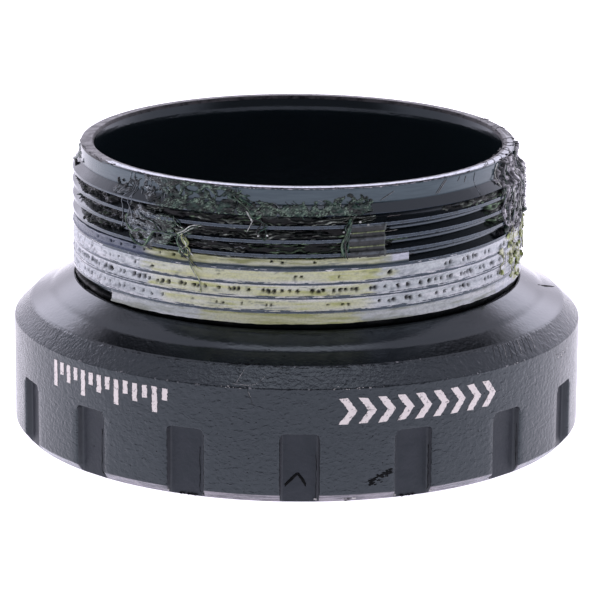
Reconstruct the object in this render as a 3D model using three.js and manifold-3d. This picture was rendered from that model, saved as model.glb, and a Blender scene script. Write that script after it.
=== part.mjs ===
// External-bearing cup of a bicycle bottom bracket: a threaded aluminium cup with its cartridge
// ball bearing and the plastic dust cover that carries the crank spindle.
// Millimetres. The axis is Z, z = 0 is the outboard face and +Z runs to the threaded end.
import * as THREE from "three";
import { mergeVertices } from "three/addons/utils/BufferGeometryUtils.js";
import Module from "manifold-3d";

const wasm = await Module();
wasm.setup();

// Driving dimensions
const CUP_HEIGHT = 22.45;
const FLANGE_RADIUS = 22; // 44 mm tool size
const FLANGE_SIDE_TOP = 8.73;
const FOOT_CHAMFER = { radial: 0.55, axial: 0.65 };
const SHOULDER_CHAMFER = 1.35;
const CONE_TOP = { radius: 17.15, z: 11.83 };

const THREAD_RADIUS = 17.4; // 1.37 inch thread
const THREAD_PITCH = 25.4 / 24;
const THREAD_ROOT = 16.75;
const THREAD_LOW = 12.35;
const THREAD_HIGH = 20.55;
const CREST_FLAT = 0.22;
const ROOT_FLAT = 0.12;
const FIRST_CREST = 13.28; // height of one crest at the front of the cup
const UNDERCUT = { radius: 16.7, z: 11.6 };
const UNDERCUT_STEP = 0.01; // keeps the undercut's edge apart from the thread's first row

const LAND_RADIUS = 16.77;
const LAND_LOW = 21.2;
const RIM_BREAK = 0.1;
const MOUTH = { radius: 15.86, depth: 0.85 };
const BORE_RADIUS = 15.5;

const NOTCH_COUNT = 16;
const NOTCH = { width: 2.9, top: 5.27, depth: 0.6, corner: 0.35 };
const CUTTER_OVERRUN = 1; // how far a notch cutter stands out of the metal

const BEARING = { outer: 18.5, inner: 12.5, width: 7, low: 1.3 };
const BEARING_HIGH = BEARING.low + BEARING.width;
const BEARING_MIDDLE = BEARING.low + BEARING.width / 2;
const SEAT_GAP = 0.05;
const SEAT_LEAD = 0.3;
const RACE_CHAMFER = 0.3;
const OUTER_RACE_LAND = 17;
const INNER_RACE_LAND = 14;
const SEAL_RECESS = { radius: 17.55, depth: 0.7 };
const SEAL = { inner: 14.15, outer: 17.5, inset: 0.15, thickness: 0.5, lip: 0.3 };

const BALL_COUNT = 16;
const BALL_RADIUS = 1.75;
const PITCH_RADIUS = 15.5;
const GROOVE_RADIUS = 1.9;
const CAGE = { inner: 14.75, outer: 16.25, low: 2.35, high: 5.55, pocket: 1.87 };

const SPINDLE_RADIUS = 12; // 24 mm crank spindle
const COVER = { low: 0.3, rim: 17.8, thickness: 0.7, boss: 13.7, bossHigh: 1.25, edge: 0.25 };
const SLEEVE = { outer: 12.4, high: 8.7 };

const SEGMENTS = 48;
const FULL_TURN = 2 * Math.PI;

const cupBlack = finish(0x2a2d33, 0.35, 0.6);
const bearingSteel = finish(0x9a9c9f, 0.25, 1);
const ballSteel = finish(0xc8cacd, 0.12, 1);
const cageNylon = finish(0xd8d2bd, 0.6, 0);
const sealRubber = finish(0x17181a, 0.8, 0);
const coverPlastic = finish(0x1c1d20, 0.5, 0);

function finish(color, roughness, metalness) {
  return new THREE.MeshStandardMaterial({ color, roughness, metalness });
}

// Profiles are lists of [radius, z] that close on themselves and are turned about Z.
function turned(profile) {
  const outline = anticlockwise(profile);
  const points = [...outline, outline[0]].map(([r, z]) => new THREE.Vector2(r, z));
  return new THREE.LatheGeometry(points, SEGMENTS).rotateX(Math.PI / 2);
}

function anticlockwise(profile) {
  let area = 0;
  profile.forEach(([r, z], i) => {
    const [nextR, nextZ] = profile[(i + 1) % profile.length];
    area += r * nextZ - nextR * z;
  });
  return area > 0 ? profile : [...profile].reverse();
}

// Points of a circular arc about [r, z], from one angle to another in degrees.
function arc(centre, radius, from, to, steps) {
  return Array.from({ length: steps + 1 }, (_, i) => {
    const angle = THREE.MathUtils.degToRad(from + ((to - from) * i) / steps);
    return [centre[0] + radius * Math.cos(angle), centre[1] + radius * Math.sin(angle)];
  });
}

// Solids for cutting, and back to geometry
function solid(geometry) {
  const bare = geometry.clone().deleteAttribute("normal").deleteAttribute("uv");
  const merged = mergeVertices(bare, 1e-4);
  const index = merged.index.array;
  const kept = [];
  for (let i = 0; i < index.length; i += 3) {
    const [a, b, c] = [index[i], index[i + 1], index[i + 2]];
    if (a !== b && b !== c && c !== a) kept.push(a, b, c);
  }
  return new wasm.Manifold(
    new wasm.Mesh({
      numProp: 3,
      vertProperties: merged.attributes.position.array,
      triVerts: new Uint32Array(kept),
    }),
  );
}

function geometryOf(body) {
  const { vertProperties, triVerts } = body.getMesh();
  const geometry = new THREE.BufferGeometry();
  geometry.setAttribute("position", new THREE.BufferAttribute(vertProperties, 3));
  geometry.setIndex(new THREE.BufferAttribute(triVerts, 1));
  geometry.computeVertexNormals();
  return geometry;
}

function cut(geometry, cutters) {
  return geometryOf(cutters.reduce((body, cutter) => body.subtract(solid(cutter)), solid(geometry)));
}

// Thread outline at the front of the cup, one root and one crest for each pitch. It runs one pitch
// past both ends, because the outline climbs by a pitch in each turn.
function threadOutline() {
  const flank = (THREAD_PITCH - CREST_FLAT - ROOT_FLAT) / 2;
  const halfCrest = CREST_FLAT / 2;
  const outline = [];
  const below = Math.ceil((FIRST_CREST - THREAD_LOW) / THREAD_PITCH) + 1;
  const first = FIRST_CREST - below * THREAD_PITCH;
  const last = THREAD_HIGH + THREAD_PITCH;
  for (let crest = first; crest < last; crest += THREAD_PITCH) {
    outline.push([THREAD_ROOT, crest - halfCrest - flank], [THREAD_RADIUS, crest - halfCrest]);
    outline.push([THREAD_RADIUS, crest + halfCrest], [THREAD_ROOT, crest + halfCrest + flank]);
  }
  return outline;
}

// The ridge runs out into the undercut at the bottom, and the groove runs out at the top.
function runOut(r, z) {
  const height = THREE.MathUtils.clamp(z, THREAD_LOW, THREAD_HIGH);
  const ridge = Math.min(1, (height - THREAD_LOW) / (THREAD_PITCH / 3));
  const groove = Math.min(1, (THREAD_HIGH - height) / (THREAD_PITCH / 2));
  const raised = THREAD_ROOT + (r - THREAD_ROOT) * ridge;
  return [THREAD_RADIUS - (THREAD_RADIUS - raised) * groove, height];
}

// The cup before its notches: a turned body whose thread outline climbs as it goes round.
function threadedBlank() {
  const flange = [
    [BEARING.outer + SEAT_GAP + SEAT_LEAD, 0],
    [FLANGE_RADIUS - FOOT_CHAMFER.radial, 0],
    [FLANGE_RADIUS, FOOT_CHAMFER.axial],
    [FLANGE_RADIUS, FLANGE_SIDE_TOP],
    [FLANGE_RADIUS - SHOULDER_CHAMFER, FLANGE_SIDE_TOP + SHOULDER_CHAMFER],
    [CONE_TOP.radius, CONE_TOP.z],
    [UNDERCUT.radius, UNDERCUT.z],
    [UNDERCUT.radius, THREAD_LOW - UNDERCUT_STEP],
  ];
  const thread = threadOutline();
  const seat = BEARING.outer + SEAT_GAP;
  const mouthAndBore = [
    [LAND_RADIUS, LAND_LOW],
    [LAND_RADIUS, CUP_HEIGHT - RIM_BREAK],
    [LAND_RADIUS - RIM_BREAK, CUP_HEIGHT],
    [MOUTH.radius, CUP_HEIGHT],
    [BORE_RADIUS, CUP_HEIGHT - MOUTH.depth],
    [BORE_RADIUS, BEARING_HIGH + SEAT_GAP],
    [seat, BEARING_HIGH + SEAT_GAP],
    [seat, SEAT_LEAD],
  ];
  const outline = [...flange, ...thread, ...mouthAndBore];
  const points = [...outline, outline[0]].map(([r, z]) => new THREE.Vector2(r, z));
  const blank = new THREE.LatheGeometry(points, SEGMENTS);
  const place = blank.attributes.position;
  for (let column = 0; column <= SEGMENTS; column++) {
    const turn = column / SEGMENTS;
    thread.forEach(([outlineR, outlineZ], i) => {
      const [r, z] = runOut(outlineR, outlineZ + THREAD_PITCH * turn);
      const vertex = column * points.length + flange.length + i;
      const angle = turn * FULL_TURN;
      place.setXYZ(vertex, r * Math.sin(angle), z, r * Math.cos(angle));
    });
  }
  return blank.rotateX(Math.PI / 2);
}

// One tool notch: a flat-floored slot, open at the outboard face, with rounded upper corners.
function notchCutter(index) {
  const half = NOTCH.width / 2;
  const { top, corner } = NOTCH;
  const depth = NOTCH.depth + CUTTER_OVERRUN;
  const slot = new THREE.Shape();
  slot.moveTo(-half, -CUTTER_OVERRUN);
  slot.lineTo(half, -CUTTER_OVERRUN);
  slot.lineTo(half, top - corner);
  slot.absarc(half - corner, top - corner, corner, 0, Math.PI / 2, false);
  slot.lineTo(corner - half, top);
  slot.absarc(corner - half, top - corner, corner, Math.PI / 2, Math.PI, false);
  return new THREE.ExtrudeGeometry(slot, { depth, bevelEnabled: false, curveSegments: 3 })
    .rotateX(Math.PI / 2)
    .translate(0, NOTCH.depth - FLANGE_RADIUS, 0)
    .rotateZ((index / NOTCH_COUNT) * FULL_TURN);
}

function cupBody() {
  return cut(threadedBlank(), Array.from({ length: NOTCH_COUNT }, (_, i) => notchCutter(i)));
}

// Half the width of the ball groove where it meets a race's land
const grooveHalf = Math.sqrt(GROOVE_RADIUS ** 2 - (OUTER_RACE_LAND - PITCH_RADIUS) ** 2);
const grooveAngle = THREE.MathUtils.radToDeg(Math.asin(grooveHalf / GROOVE_RADIUS));
const grooveCentre = [PITCH_RADIUS, BEARING_MIDDLE];

function outerRace() {
  const { outer, low } = BEARING;
  const recess = SEAL_RECESS;
  return turned([
    [outer, low + RACE_CHAMFER],
    [outer, BEARING_HIGH - RACE_CHAMFER],
    [outer - RACE_CHAMFER, BEARING_HIGH],
    [recess.radius, BEARING_HIGH],
    [recess.radius, BEARING_HIGH - recess.depth],
    [OUTER_RACE_LAND, BEARING_HIGH - recess.depth],
    ...arc(grooveCentre, GROOVE_RADIUS, grooveAngle, -grooveAngle, 4),
    [OUTER_RACE_LAND, low + recess.depth],
    [recess.radius, low + recess.depth],
    [recess.radius, low],
    [outer - RACE_CHAMFER, low],
  ]);
}

function innerRace() {
  const { inner, low } = BEARING;
  return turned([
    [inner, BEARING_HIGH - RACE_CHAMFER],
    [inner, low + RACE_CHAMFER],
    [inner + RACE_CHAMFER, low],
    [INNER_RACE_LAND, low],
    ...arc(grooveCentre, GROOVE_RADIUS, 180 + grooveAngle, 180 - grooveAngle, 4),
    [INNER_RACE_LAND, BEARING_HIGH],
    [inner + RACE_CHAMFER, BEARING_HIGH],
  ]);
}

// A rubber seal: its outer edge sits in the outer race, its lip runs just off the inner race.
function seal(inboard) {
  const face = BEARING.low + SEAL.inset;
  const back = face + SEAL.thickness;
  const outline = [
    [SEAL.inner, face],
    [SEAL.outer, face],
    [SEAL.outer, back],
    [SEAL.inner + 2 * SEAL.lip, back],
    [SEAL.inner, face + SEAL.lip],
  ];
  return turned(inboard ? outline.map(([r, z]) => [r, 2 * BEARING_MIDDLE - z]) : outline);
}

function ballCentre(index) {
  const angle = (index / BALL_COUNT) * FULL_TURN;
  return new THREE.Vector3(
    PITCH_RADIUS * Math.sin(angle),
    -PITCH_RADIUS * Math.cos(angle),
    BEARING_MIDDLE,
  );
}

// A snap-in crown cage: a ring with a round pocket for each ball, open on its inboard side.
function cage() {
  const { inner, outer, low, high, pocket } = CAGE;
  const ring = turned([
    [inner, low],
    [outer, low],
    [outer, high],
    [inner, high],
  ]);
  const pockets = Array.from({ length: BALL_COUNT }, (_, i) => {
    const centre = ballCentre(i);
    return new THREE.IcosahedronGeometry(pocket, 1).translate(centre.x, centre.y, centre.z);
  });
  return cut(ring, pockets);
}

// The dust cover: a sleeve through the inner race with a flange over the outboard side.
function dustCover() {
  const { low, rim, thickness, boss, bossHigh, edge } = COVER;
  return turned([
    [SPINDLE_RADIUS + edge, low],
    [rim - edge, low],
    [rim, low + edge],
    [rim, low + thickness],
    [boss, low + thickness],
    [boss, bossHigh],
    [SLEEVE.outer, bossHigh],
    [SLEEVE.outer, SLEEVE.high],
    [SPINDLE_RADIUS + edge / 2, SLEEVE.high],
    [SPINDLE_RADIUS, SLEEVE.high - edge / 2],
    [SPINDLE_RADIUS, low + edge],
  ]);
}

function named(name, geometry, material) {
  const mesh = new THREE.Mesh(geometry, material);
  mesh.name = name;
  return mesh;
}

function bearing() {
  const group = new THREE.Group();
  group.add(
    named("bearing_outer_race", outerRace(), bearingSteel),
    named("bearing_inner_race", innerRace(), bearingSteel),
    named("bearing_cage", cage(), cageNylon),
    named("bearing_seal_outboard", seal(false), sealRubber),
    named("bearing_seal_inboard", seal(true), sealRubber),
  );
  for (let i = 0; i < BALL_COUNT; i++) {
    const number = String(i + 1).padStart(2, "0");
    const ball = named(`ball_${number}`, new THREE.IcosahedronGeometry(BALL_RADIUS, 1), ballSteel);
    ball.position.copy(ballCentre(i));
    group.add(ball);
  }
  return group;
}

const cup = new THREE.Group();
cup.add(
  named("cup_body", cupBody(), cupBlack),
  bearing(),
  named("dust_cover", dustCover(), coverPlastic),
);

export default cup;
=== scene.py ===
"""Looks for the bottom bracket cup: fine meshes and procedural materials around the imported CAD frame."""

import math

import bpy
import numpy as np
from mathutils import Matrix, Vector


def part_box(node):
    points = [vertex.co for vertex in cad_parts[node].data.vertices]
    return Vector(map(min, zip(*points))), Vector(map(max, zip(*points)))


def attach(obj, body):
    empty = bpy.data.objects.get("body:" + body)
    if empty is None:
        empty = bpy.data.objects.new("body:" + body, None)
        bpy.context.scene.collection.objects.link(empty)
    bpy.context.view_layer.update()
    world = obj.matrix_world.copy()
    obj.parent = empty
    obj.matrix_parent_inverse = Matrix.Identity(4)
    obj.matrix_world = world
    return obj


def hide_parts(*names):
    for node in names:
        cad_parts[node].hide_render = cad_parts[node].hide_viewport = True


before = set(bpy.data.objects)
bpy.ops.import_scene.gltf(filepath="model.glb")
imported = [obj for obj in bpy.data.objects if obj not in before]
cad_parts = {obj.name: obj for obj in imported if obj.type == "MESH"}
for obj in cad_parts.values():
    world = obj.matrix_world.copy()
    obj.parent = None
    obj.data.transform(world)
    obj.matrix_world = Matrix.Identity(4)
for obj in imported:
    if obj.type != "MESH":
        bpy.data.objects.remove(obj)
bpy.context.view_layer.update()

MM = 0.001
scene = bpy.context.scene

# ---------------------------------------------------------------- sizes, in millimetres, as in the CAD
CUP_HEIGHT = 22.45
FLANGE_R = 22.0
PITCH = 25.4 / 24
CREST_R, ROOT_R = 17.4, 16.75
CREST_HALF, ROOT_HALF = 0.11, 0.06
FIRST_CREST = 13.28
THREAD_LOW, THREAD_HIGH = 12.35, 20.55
LAND_R, LAND_LOW = 16.77, 21.2
RIM_DULL_R = 16.15  # inside this the flat of the mouth is worn dull
NOTCHES, NOTCH_HALF, NOTCH_TOP, NOTCH_FLOOR, NOTCH_CORNER = 16, 1.45, 5.27, 21.4, 0.35
VIEW_TURN = 0.77  # the camera stands this many degrees to the left of the -Y notch
ARC = 0.303  # millimetres round the barrel for each degree
HIDDEN_R = 10.0  # well under the metal: a sheet is left out where it has this radius
BALLS, BALL_R, BALL_CIRCLE_R, GROOVE_R, BEARING_MIDDLE = 16, 1.75, 15.5, 1.9, 4.8


# ---------------------------------------------------------------- camera
def place_camera():
    """A long lens, 285 mm from the cup, looking a little down on it."""
    distance, elevation, roll = 285.07, math.radians(15.186), math.radians(-0.413)
    turn = math.radians(-VIEW_TURN)
    level = math.cos(elevation)
    back = Vector((math.sin(turn) * level, -math.cos(turn) * level, math.sin(elevation)))
    right = (-back).cross(Vector((0, 0, 1))).normalized()
    up = right.cross(-back)
    aim = Vector((0, 0, 9.488)) + right * 0.24
    tilted_right = right * math.cos(roll) - up * math.sin(roll)
    tilted_up = right * math.sin(roll) + up * math.cos(roll)
    data = bpy.data.cameras.new("camera")
    data.sensor_width = 36
    data.lens = 218.8
    data.clip_start, data.clip_end = 0.01, 20
    camera = bpy.data.objects.new("camera", data)
    scene.collection.objects.link(camera)
    matrix = Matrix((tilted_right, tilted_up, back)).transposed().to_4x4()
    matrix.translation = (aim + back * distance) * MM
    camera.matrix_world = matrix
    scene.camera = camera


place_camera()


# ---------------------------------------------------------------- mesh helpers
def srgb(r, g, b):
    """Linear colour from 0-255 display values."""
    return tuple(
        (c / 12.92 if c <= 0.04045 else ((c + 0.055) / 1.055) ** 2.4)
        for c in (r / 255, g / 255, b / 255)
    )


def cylinder(angle, radius, z):
    """Points from the angle round the cup in degrees (0 at -Y, growing towards +X), radius and height."""
    a = np.radians(angle)
    return np.stack([radius * np.sin(a), -radius * np.cos(a), z + 0 * a], axis=-1)


def new_mesh(name, points, faces, material, sharp=35.0, colours=None):
    """A smooth-shaded object from points in millimetres. Doubled points are merged, empty faces dropped."""
    points = np.asarray(points, dtype=float).reshape(-1, 3)
    faces = np.asarray(faces, dtype=np.int64)
    # the small shift keeps sizes with few decimals away from the edge between two rounded values
    merged = np.round(points + 3.3e-6, 5)
    _, first, inverse = np.unique(merged, axis=0, return_index=True, return_inverse=True)
    inverse = inverse.reshape(-1)
    points = points[first]
    faces = inverse[faces]
    width = faces.shape[1]
    kept = []
    if width == 4:
        a, b, c, d = faces.T
        bad = (a == b).astype(int) + (b == c) + (c == d) + (d == a) + (a == c) + (b == d)
        kept = [list(f) for f in faces[bad == 0]]
        for f in faces[bad == 1]:
            corners = list(dict.fromkeys(int(v) for v in f))
            if len(corners) == 3:
                kept.append(corners)
    else:
        kept = [list(f) for f in faces if len(set(f.tolist())) == width]
    mesh = bpy.data.meshes.new(name)
    mesh.from_pydata((points * MM).tolist(), [], kept)
    mesh.validate()
    if colours is not None:
        layer = mesh.color_attributes.new("tint", "FLOAT_COLOR", "POINT")
        values = np.ones((len(points), 4), dtype=np.float32)
        values[:, :3] = np.asarray(colours, dtype=float).reshape(-1, 3)[first]
        layer.data.foreach_set("color", values.ravel())
    mesh.polygons.foreach_set("use_smooth", [True] * len(mesh.polygons))
    mesh.set_sharp_from_angle(angle=math.radians(sharp))
    mesh.materials.append(material)
    obj = bpy.data.objects.new(name, mesh)
    scene.collection.objects.link(obj)
    return obj


def grid_faces(rows, columns, wrap_rows=False, wrap_columns=False):
    """Quads of a rows by columns grid of points, facing out when rows climb and columns turn."""
    i = np.arange(rows if wrap_rows else rows - 1)
    j = np.arange(columns if wrap_columns else columns - 1)
    i, j = np.meshgrid(i, j, indexing="ij")
    i2, j2 = (i + 1) % rows, (j + 1) % columns
    return np.stack(
        [i * columns + j, i * columns + j2, i2 * columns + j2, i2 * columns + j], axis=-1
    ).reshape(-1, 4)


def rounded(profile, radius, closed=True):
    """A profile of (r, z) points with each corner cut by a small round. A point held close to each side of
    the round keeps the shading of the faces beyond it flat."""
    out = []
    n = len(profile)
    for k, point in enumerate(profile):
        if not closed and k in (0, n - 1):
            out.append(point)
            continue
        p = np.array(point, dtype=float)
        before = np.array(profile[k - 1], dtype=float) - p
        after = np.array(profile[(k + 1) % n], dtype=float) - p
        longest_before, longest_after = np.linalg.norm(before), np.linalg.norm(after)
        cut = min(radius, longest_before * 0.25, longest_after * 0.25)
        a = p + before / longest_before * cut
        b = p + after / longest_after * cut
        held_a = p + before / longest_before * cut * 1.7
        held_b = p + after / longest_after * cut * 1.7
        out += [tuple(held_a), tuple(a), tuple((a + 2 * p + b) / 4), tuple(b), tuple(held_b)]
    return out


def turned(name, profile, material, columns=96, sharp=35.0):
    """A closed profile turned about Z. The profile runs anticlockwise: up on the outside."""
    angles = np.arange(columns) * 360 / columns
    rz = np.array(profile)
    level = 0 * angles[None, :]
    points = cylinder(angles[None, :], rz[:, :1] + level, rz[:, 1:] + level)
    return new_mesh(name, points, grid_faces(len(rz), columns, True, True), material, sharp)


def smooth(x, low, high):
    """0 below low, 1 above high, smooth in between."""
    t = np.clip((np.asarray(x, dtype=float) - low) / (high - low), 0, 1)
    return t * t * (3 - 2 * t)


def bump_between(x, low, high, soft):
    return smooth(x, low - soft, low + soft) * (1 - smooth(x, high - soft, high + soft))


def noise(u, v, seed, octaves=3):
    """Smooth seeded noise about 0, roughly -1 to 1, with one cell for each unit of u and v."""
    total, size, weight = 0, 1.0, 0
    for octave in range(octaves):
        table = np.random.default_rng(seed * 31 + octave).uniform(-1, 1, (128, 128))
        x, y = np.asarray(u) * 2**octave, np.asarray(v) * 2**octave
        i, j = np.floor(x).astype(int), np.floor(y).astype(int)
        fx, fy = x - i, y - j
        fx, fy = fx * fx * (3 - 2 * fx), fy * fy * (3 - 2 * fy)
        a = table[i % 128, j % 128] * (1 - fx) + table[(i + 1) % 128, j % 128] * fx
        b = table[i % 128, (j + 1) % 128] * (1 - fx) + table[(i + 1) % 128, (j + 1) % 128] * fx
        total = total + (a * (1 - fy) + b * fy) * size
        weight += size
        size *= 0.5
    return total / weight * 1.6


def wrinkles(arc, z, seed, spacing=0.27):
    """Thin wavy ridges that run round the barrel: 1 on a ridge and 0 between them."""
    phase = (
        z / spacing + 1.5 * noise(arc / 2.6, z / 0.9, seed) + 0.3 * noise(arc / 0.7, z / 0.3, seed + 1)
    )
    away = np.abs(phase - np.floor(phase) - 0.5)
    broken = smooth(noise(arc / 1.6, z / 0.3, seed + 2), -0.3, 0.1)
    return (1 - smooth(away, 0.06, 0.25)) * broken


def tone(r, g, b):
    return np.array(srgb(r, g, b))


def tinted(base, colour, amount):
    """Colours carried towards another colour by an amount from 0 to 1 at each point."""
    amount = np.clip(amount, 0, 1)[..., None]
    return base * (1 - amount) + colour * amount


# ---------------------------------------------------------------- material helpers
class Nodes:
    """Short calls for adding nodes to a node tree."""

    def __init__(self, tree):
        self.tree = tree

    def node(self, kind, inputs=None, **properties):
        made = self.tree.nodes.new(kind)
        for key, value in properties.items():
            setattr(made, key, value)
        for key, value in (inputs or {}).items():
            self._feed(made.inputs[key], value)
        return made

    def _feed(self, socket, value):
        if isinstance(value, bpy.types.NodeSocket):
            self.tree.links.new(value, socket)
        elif isinstance(value, tuple) and len(value) == 3 and socket.type == "RGBA":
            socket.default_value = (*value, 1)
        else:
            socket.default_value = value

    def vector(self, operation, a, b):
        return self.node("ShaderNodeVectorMath", {0: a, 1: b}, operation=operation).outputs[0]

    def math(self, operation, a, b=0.0):
        return self.node("ShaderNodeMath", {0: a, 1: b}, operation=operation).outputs[0]

    def ramp(self, value, low, high, to_low=0.0, to_high=1.0):
        inputs = {"Value": value, "From Min": low, "From Max": high, "To Min": to_low, "To Max": to_high}
        return self.node("ShaderNodeMapRange", inputs, interpolation_type="SMOOTHSTEP").outputs["Result"]

    def mix(self, factor, a, b):
        made = self.node("ShaderNodeMix", data_type="RGBA")
        for index, value in ((0, factor), (6, a), (7, b)):
            self._feed(made.inputs[index], value)
        return made.outputs[2]

    def both(self, a, b):
        return self.math("MULTIPLY", a, b)


class Shader(Nodes):
    """A material with one Principled shader. Its textures are in millimetres from the cup's axis."""

    def __init__(self, name, **settings):
        self.material = bpy.data.materials.new(name)
        self.material.use_nodes = True
        super().__init__(self.material.node_tree)
        self.main = self.tree.nodes["Principled BSDF"]
        for key, value in settings.items():
            self.set(key.replace("_", " "), value)
        coordinates = self.tree.nodes.new("ShaderNodeTexCoord").outputs["Object"]
        self.place = self.vector("MULTIPLY", coordinates, (1000, 1000, 1000))
        self.z = self.node("ShaderNodeSeparateXYZ", {0: self.place}).outputs[2]
        flat = self.vector("MULTIPLY", self.place, (1, 1, 0))
        self.r = self.node("ShaderNodeVectorMath", {0: flat}, operation="LENGTH").outputs["Value"]

    def set(self, key, value):
        self._feed(self.main.inputs[key], value)

    def noise(self, scale, detail=2.0, stretch=None, roughness=0.5, distortion=0.0):
        place = self.vector("MULTIPLY", self.place, stretch) if stretch else self.place
        inputs = {"Vector": place, "Scale": scale, "Detail": detail, "Roughness": roughness}
        return self.node("ShaderNodeTexNoise", inputs | {"Distortion": distortion}).outputs["Fac"]

    def cells(self, scale, randomness=1.0):
        inputs = {"Vector": self.place, "Scale": scale, "Randomness": randomness}
        return self.node("ShaderNodeTexVoronoi", inputs).outputs["Distance"]

    def bump(self, *layers):
        """Each layer is (height, distance in millimetres)."""
        normal = None
        for height, distance in layers:
            inputs = {"Height": height, "Distance": distance * MM, "Strength": 1.0}
            if normal:
                inputs["Normal"] = normal
            normal = self.node("ShaderNodeBump", inputs).outputs["Normal"]
        self.set("Normal", normal)


# ---------------------------------------------------------------- materials
def cup_material():
    s = Shader("cup_anodised", IOR=1.64, Specular_Tint=(0.80, 0.925, 1.0, 1.0))
    grain = s.noise(3.6, 3.0, roughness=0.55)
    orange_peel = s.noise(1.5, 3.0, stretch=(1, 1, 1.8), distortion=0.8)
    cloud = s.noise(0.35, 4.0)
    chips = s.noise(2.2, 3.0)
    fine_chips = s.noise(3.4, 3.0, roughness=0.6)
    pits = s.ramp(s.cells(1.3), 0.03, 0.09, 1.0, 0.0)
    forward = s.node("ShaderNodeSeparateXYZ", {0: s.place}).outputs[1]

    # The rim and lip are worn bare metal, kept to the front: their brightness there is partly painted
    # highlight of the lit near side, while the far side of the mouth gets painted shade in the dull rim
    # material.
    rim = s.both(s.ramp(s.z, 22.40, 22.44), s.ramp(forward, 2.0, -12.0))
    lip = s.both(s.ramp(s.z, 22.30, 22.40), s.ramp(s.r, 16.62, 16.70))
    lip = s.both(s.both(lip, s.ramp(forward, -11.0, -14.5)), s.ramp(fine_chips, 0.49, 0.54))
    foot = s.both(s.ramp(s.z, 0.66, 0.60), s.ramp(s.r, 21.42, 21.48))
    smooth_top = s.ramp(s.z, 9.9, 10.1, 1.0, 0.12)
    land = s.both(s.ramp(s.z, 21.14, 21.24), s.ramp(s.r, 16.5, 16.7))
    land = s.both(land, s.ramp(s.z, 22.4, 22.34, 0.0, 1.0))
    threaded = s.both(s.ramp(s.z, 12.3, 12.4), s.ramp(s.z, 20.5, 20.6, 1.0, 0.0))
    crest = s.both(s.ramp(s.r, 17.34, 17.39), threaded)
    x, y, _ = s.node("ShaderNodeSeparateXYZ", {0: s.place}).outputs
    round_cup = s.math("ARCTAN2", x, s.math("MULTIPLY", y, -1.0))
    turn_up = s.math("SUBTRACT", s.z, s.both(round_cup, PITCH / (2 * math.pi)))
    phase = s.math(
        "FRACT", s.math("ADD", s.both(s.math("SUBTRACT", turn_up, FIRST_CREST), 1 / PITCH), 20.5)
    )
    from_crest = s.math("ABSOLUTE", s.math("SUBTRACT", phase, 0.5))
    crest_edge = CREST_HALF / PITCH
    corner = s.both(
        s.ramp(from_crest, crest_edge - 0.035, crest_edge - 0.015),
        s.ramp(from_crest, crest_edge + 0.02, crest_edge)
    )
    corner = s.both(
        s.both(corner, s.both(threaded, s.ramp(s.r, 16.9, 17.0))), s.ramp(fine_chips, 0.36, 0.50)
    )
    root_highlight_line = s.both(s.ramp(s.r, 16.76, 16.79, 1.0, 0.0), s.both(threaded, s.ramp(s.r, 16.2, 16.6)))
    inside = s.ramp(s.r, 15.9, 16.0, 1.0, 0.0)
    shoulder = s.both(s.ramp(s.z, 8.62, 8.72), s.ramp(s.z, 8.74, 8.84, 1.0, 0.0))
    brow = s.both(s.ramp(s.z, 9.99, 10.07), s.ramp(s.z, 10.09, 10.15, 1.0, 0.0))
    brow = s.both(brow, s.ramp(chips, 0.60, 0.66))
    edges = s.both(
        s.math("ADD", s.both(shoulder, s.ramp(chips, 0.56, 0.62)), brow), s.ramp(fine_chips, 0.54, 0.60)
    )

    anodised = s.mix(s.ramp(cloud, 0.3, 0.7), (0.0016, 0.0026, 0.0038), (0.0026, 0.0038, 0.0052))
    colour = s.mix(inside, anodised, (0.0050, 0.0085, 0.0105))
    streaks = s.noise(1.0, 4.0, stretch=(0.5, 0.5, 6.0))
    film = s.mix(s.ramp(streaks, 0.35, 0.65), (0.036, 0.058, 0.070), (0.050, 0.076, 0.088))
    colour = s.mix(land, colour, film)
    # The lighter crests, the bright lines at the crest edges and the light root lines are painted
    # highlights, the light the thread's flats catch, broken up by noise.
    colour = s.mix(s.both(crest, s.ramp(chips, 0.25, 0.6)), colour, (0.018, 0.030, 0.048))
    colour = s.mix(corner, colour, (0.13, 0.155, 0.19))
    colour = s.mix(s.both(root_highlight_line, 0.8), colour, (0.10, 0.125, 0.15))
    mottle = s.both(s.ramp(grain, 0.40, 0.66), s.ramp(s.z, 9.8, 9.5))
    colour = s.mix(s.both(mottle, 0.35), colour, (0.026, 0.028, 0.032))
    colour = s.mix(edges, colour, (0.20, 0.195, 0.20))
    lathe_lines = s.ramp(s.noise(1.6, 2.0, stretch=(0.4, 0.4, 5.0)), 0.35, 0.6)
    colour = s.mix(foot, colour, s.mix(lathe_lines, (0.10, 0.09, 0.10), (0.24, 0.215, 0.235)))
    brushed = s.noise(1.3, 3.0, stretch=(3.0, 0.7, 1.0))
    bare = s.mix(s.ramp(brushed, 0.3, 0.7), (0.33, 0.32, 0.35), (0.52, 0.50, 0.54))
    # Bare metal colour on the rim and lip, bright at the front as painted highlight.
    colour = s.mix(s.math("MAXIMUM", rim, lip), colour, bare)
    s.set("Base Color", colour)
    # Metallic where the rim and lip are worn bare, kept to the front as painted highlight of the lit near
    # side.
    worn_and_lit_rim = s.math("MAXIMUM", s.both(rim, s.ramp(chips, 0.2, 0.7, 0.15, 0.4)), lip)
    s.set("Metallic", s.math("MAXIMUM", worn_and_lit_rim, s.both(foot, s.ramp(fine_chips, 0.3, 0.6, 0.0, 0.45))))
    s.set("Roughness", s.both(s.ramp(cloud, 0.3, 0.7, 0.19, 0.25), s.ramp(s.z, 9.9, 10.2, 1.0, 0.6)))
    s.bump(
        (s.both(orange_peel, smooth_top), 0.060), (s.both(grain, smooth_top), 0.050),
        (s.both(pits, smooth_top), -0.03)
    )
    return s.material


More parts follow.
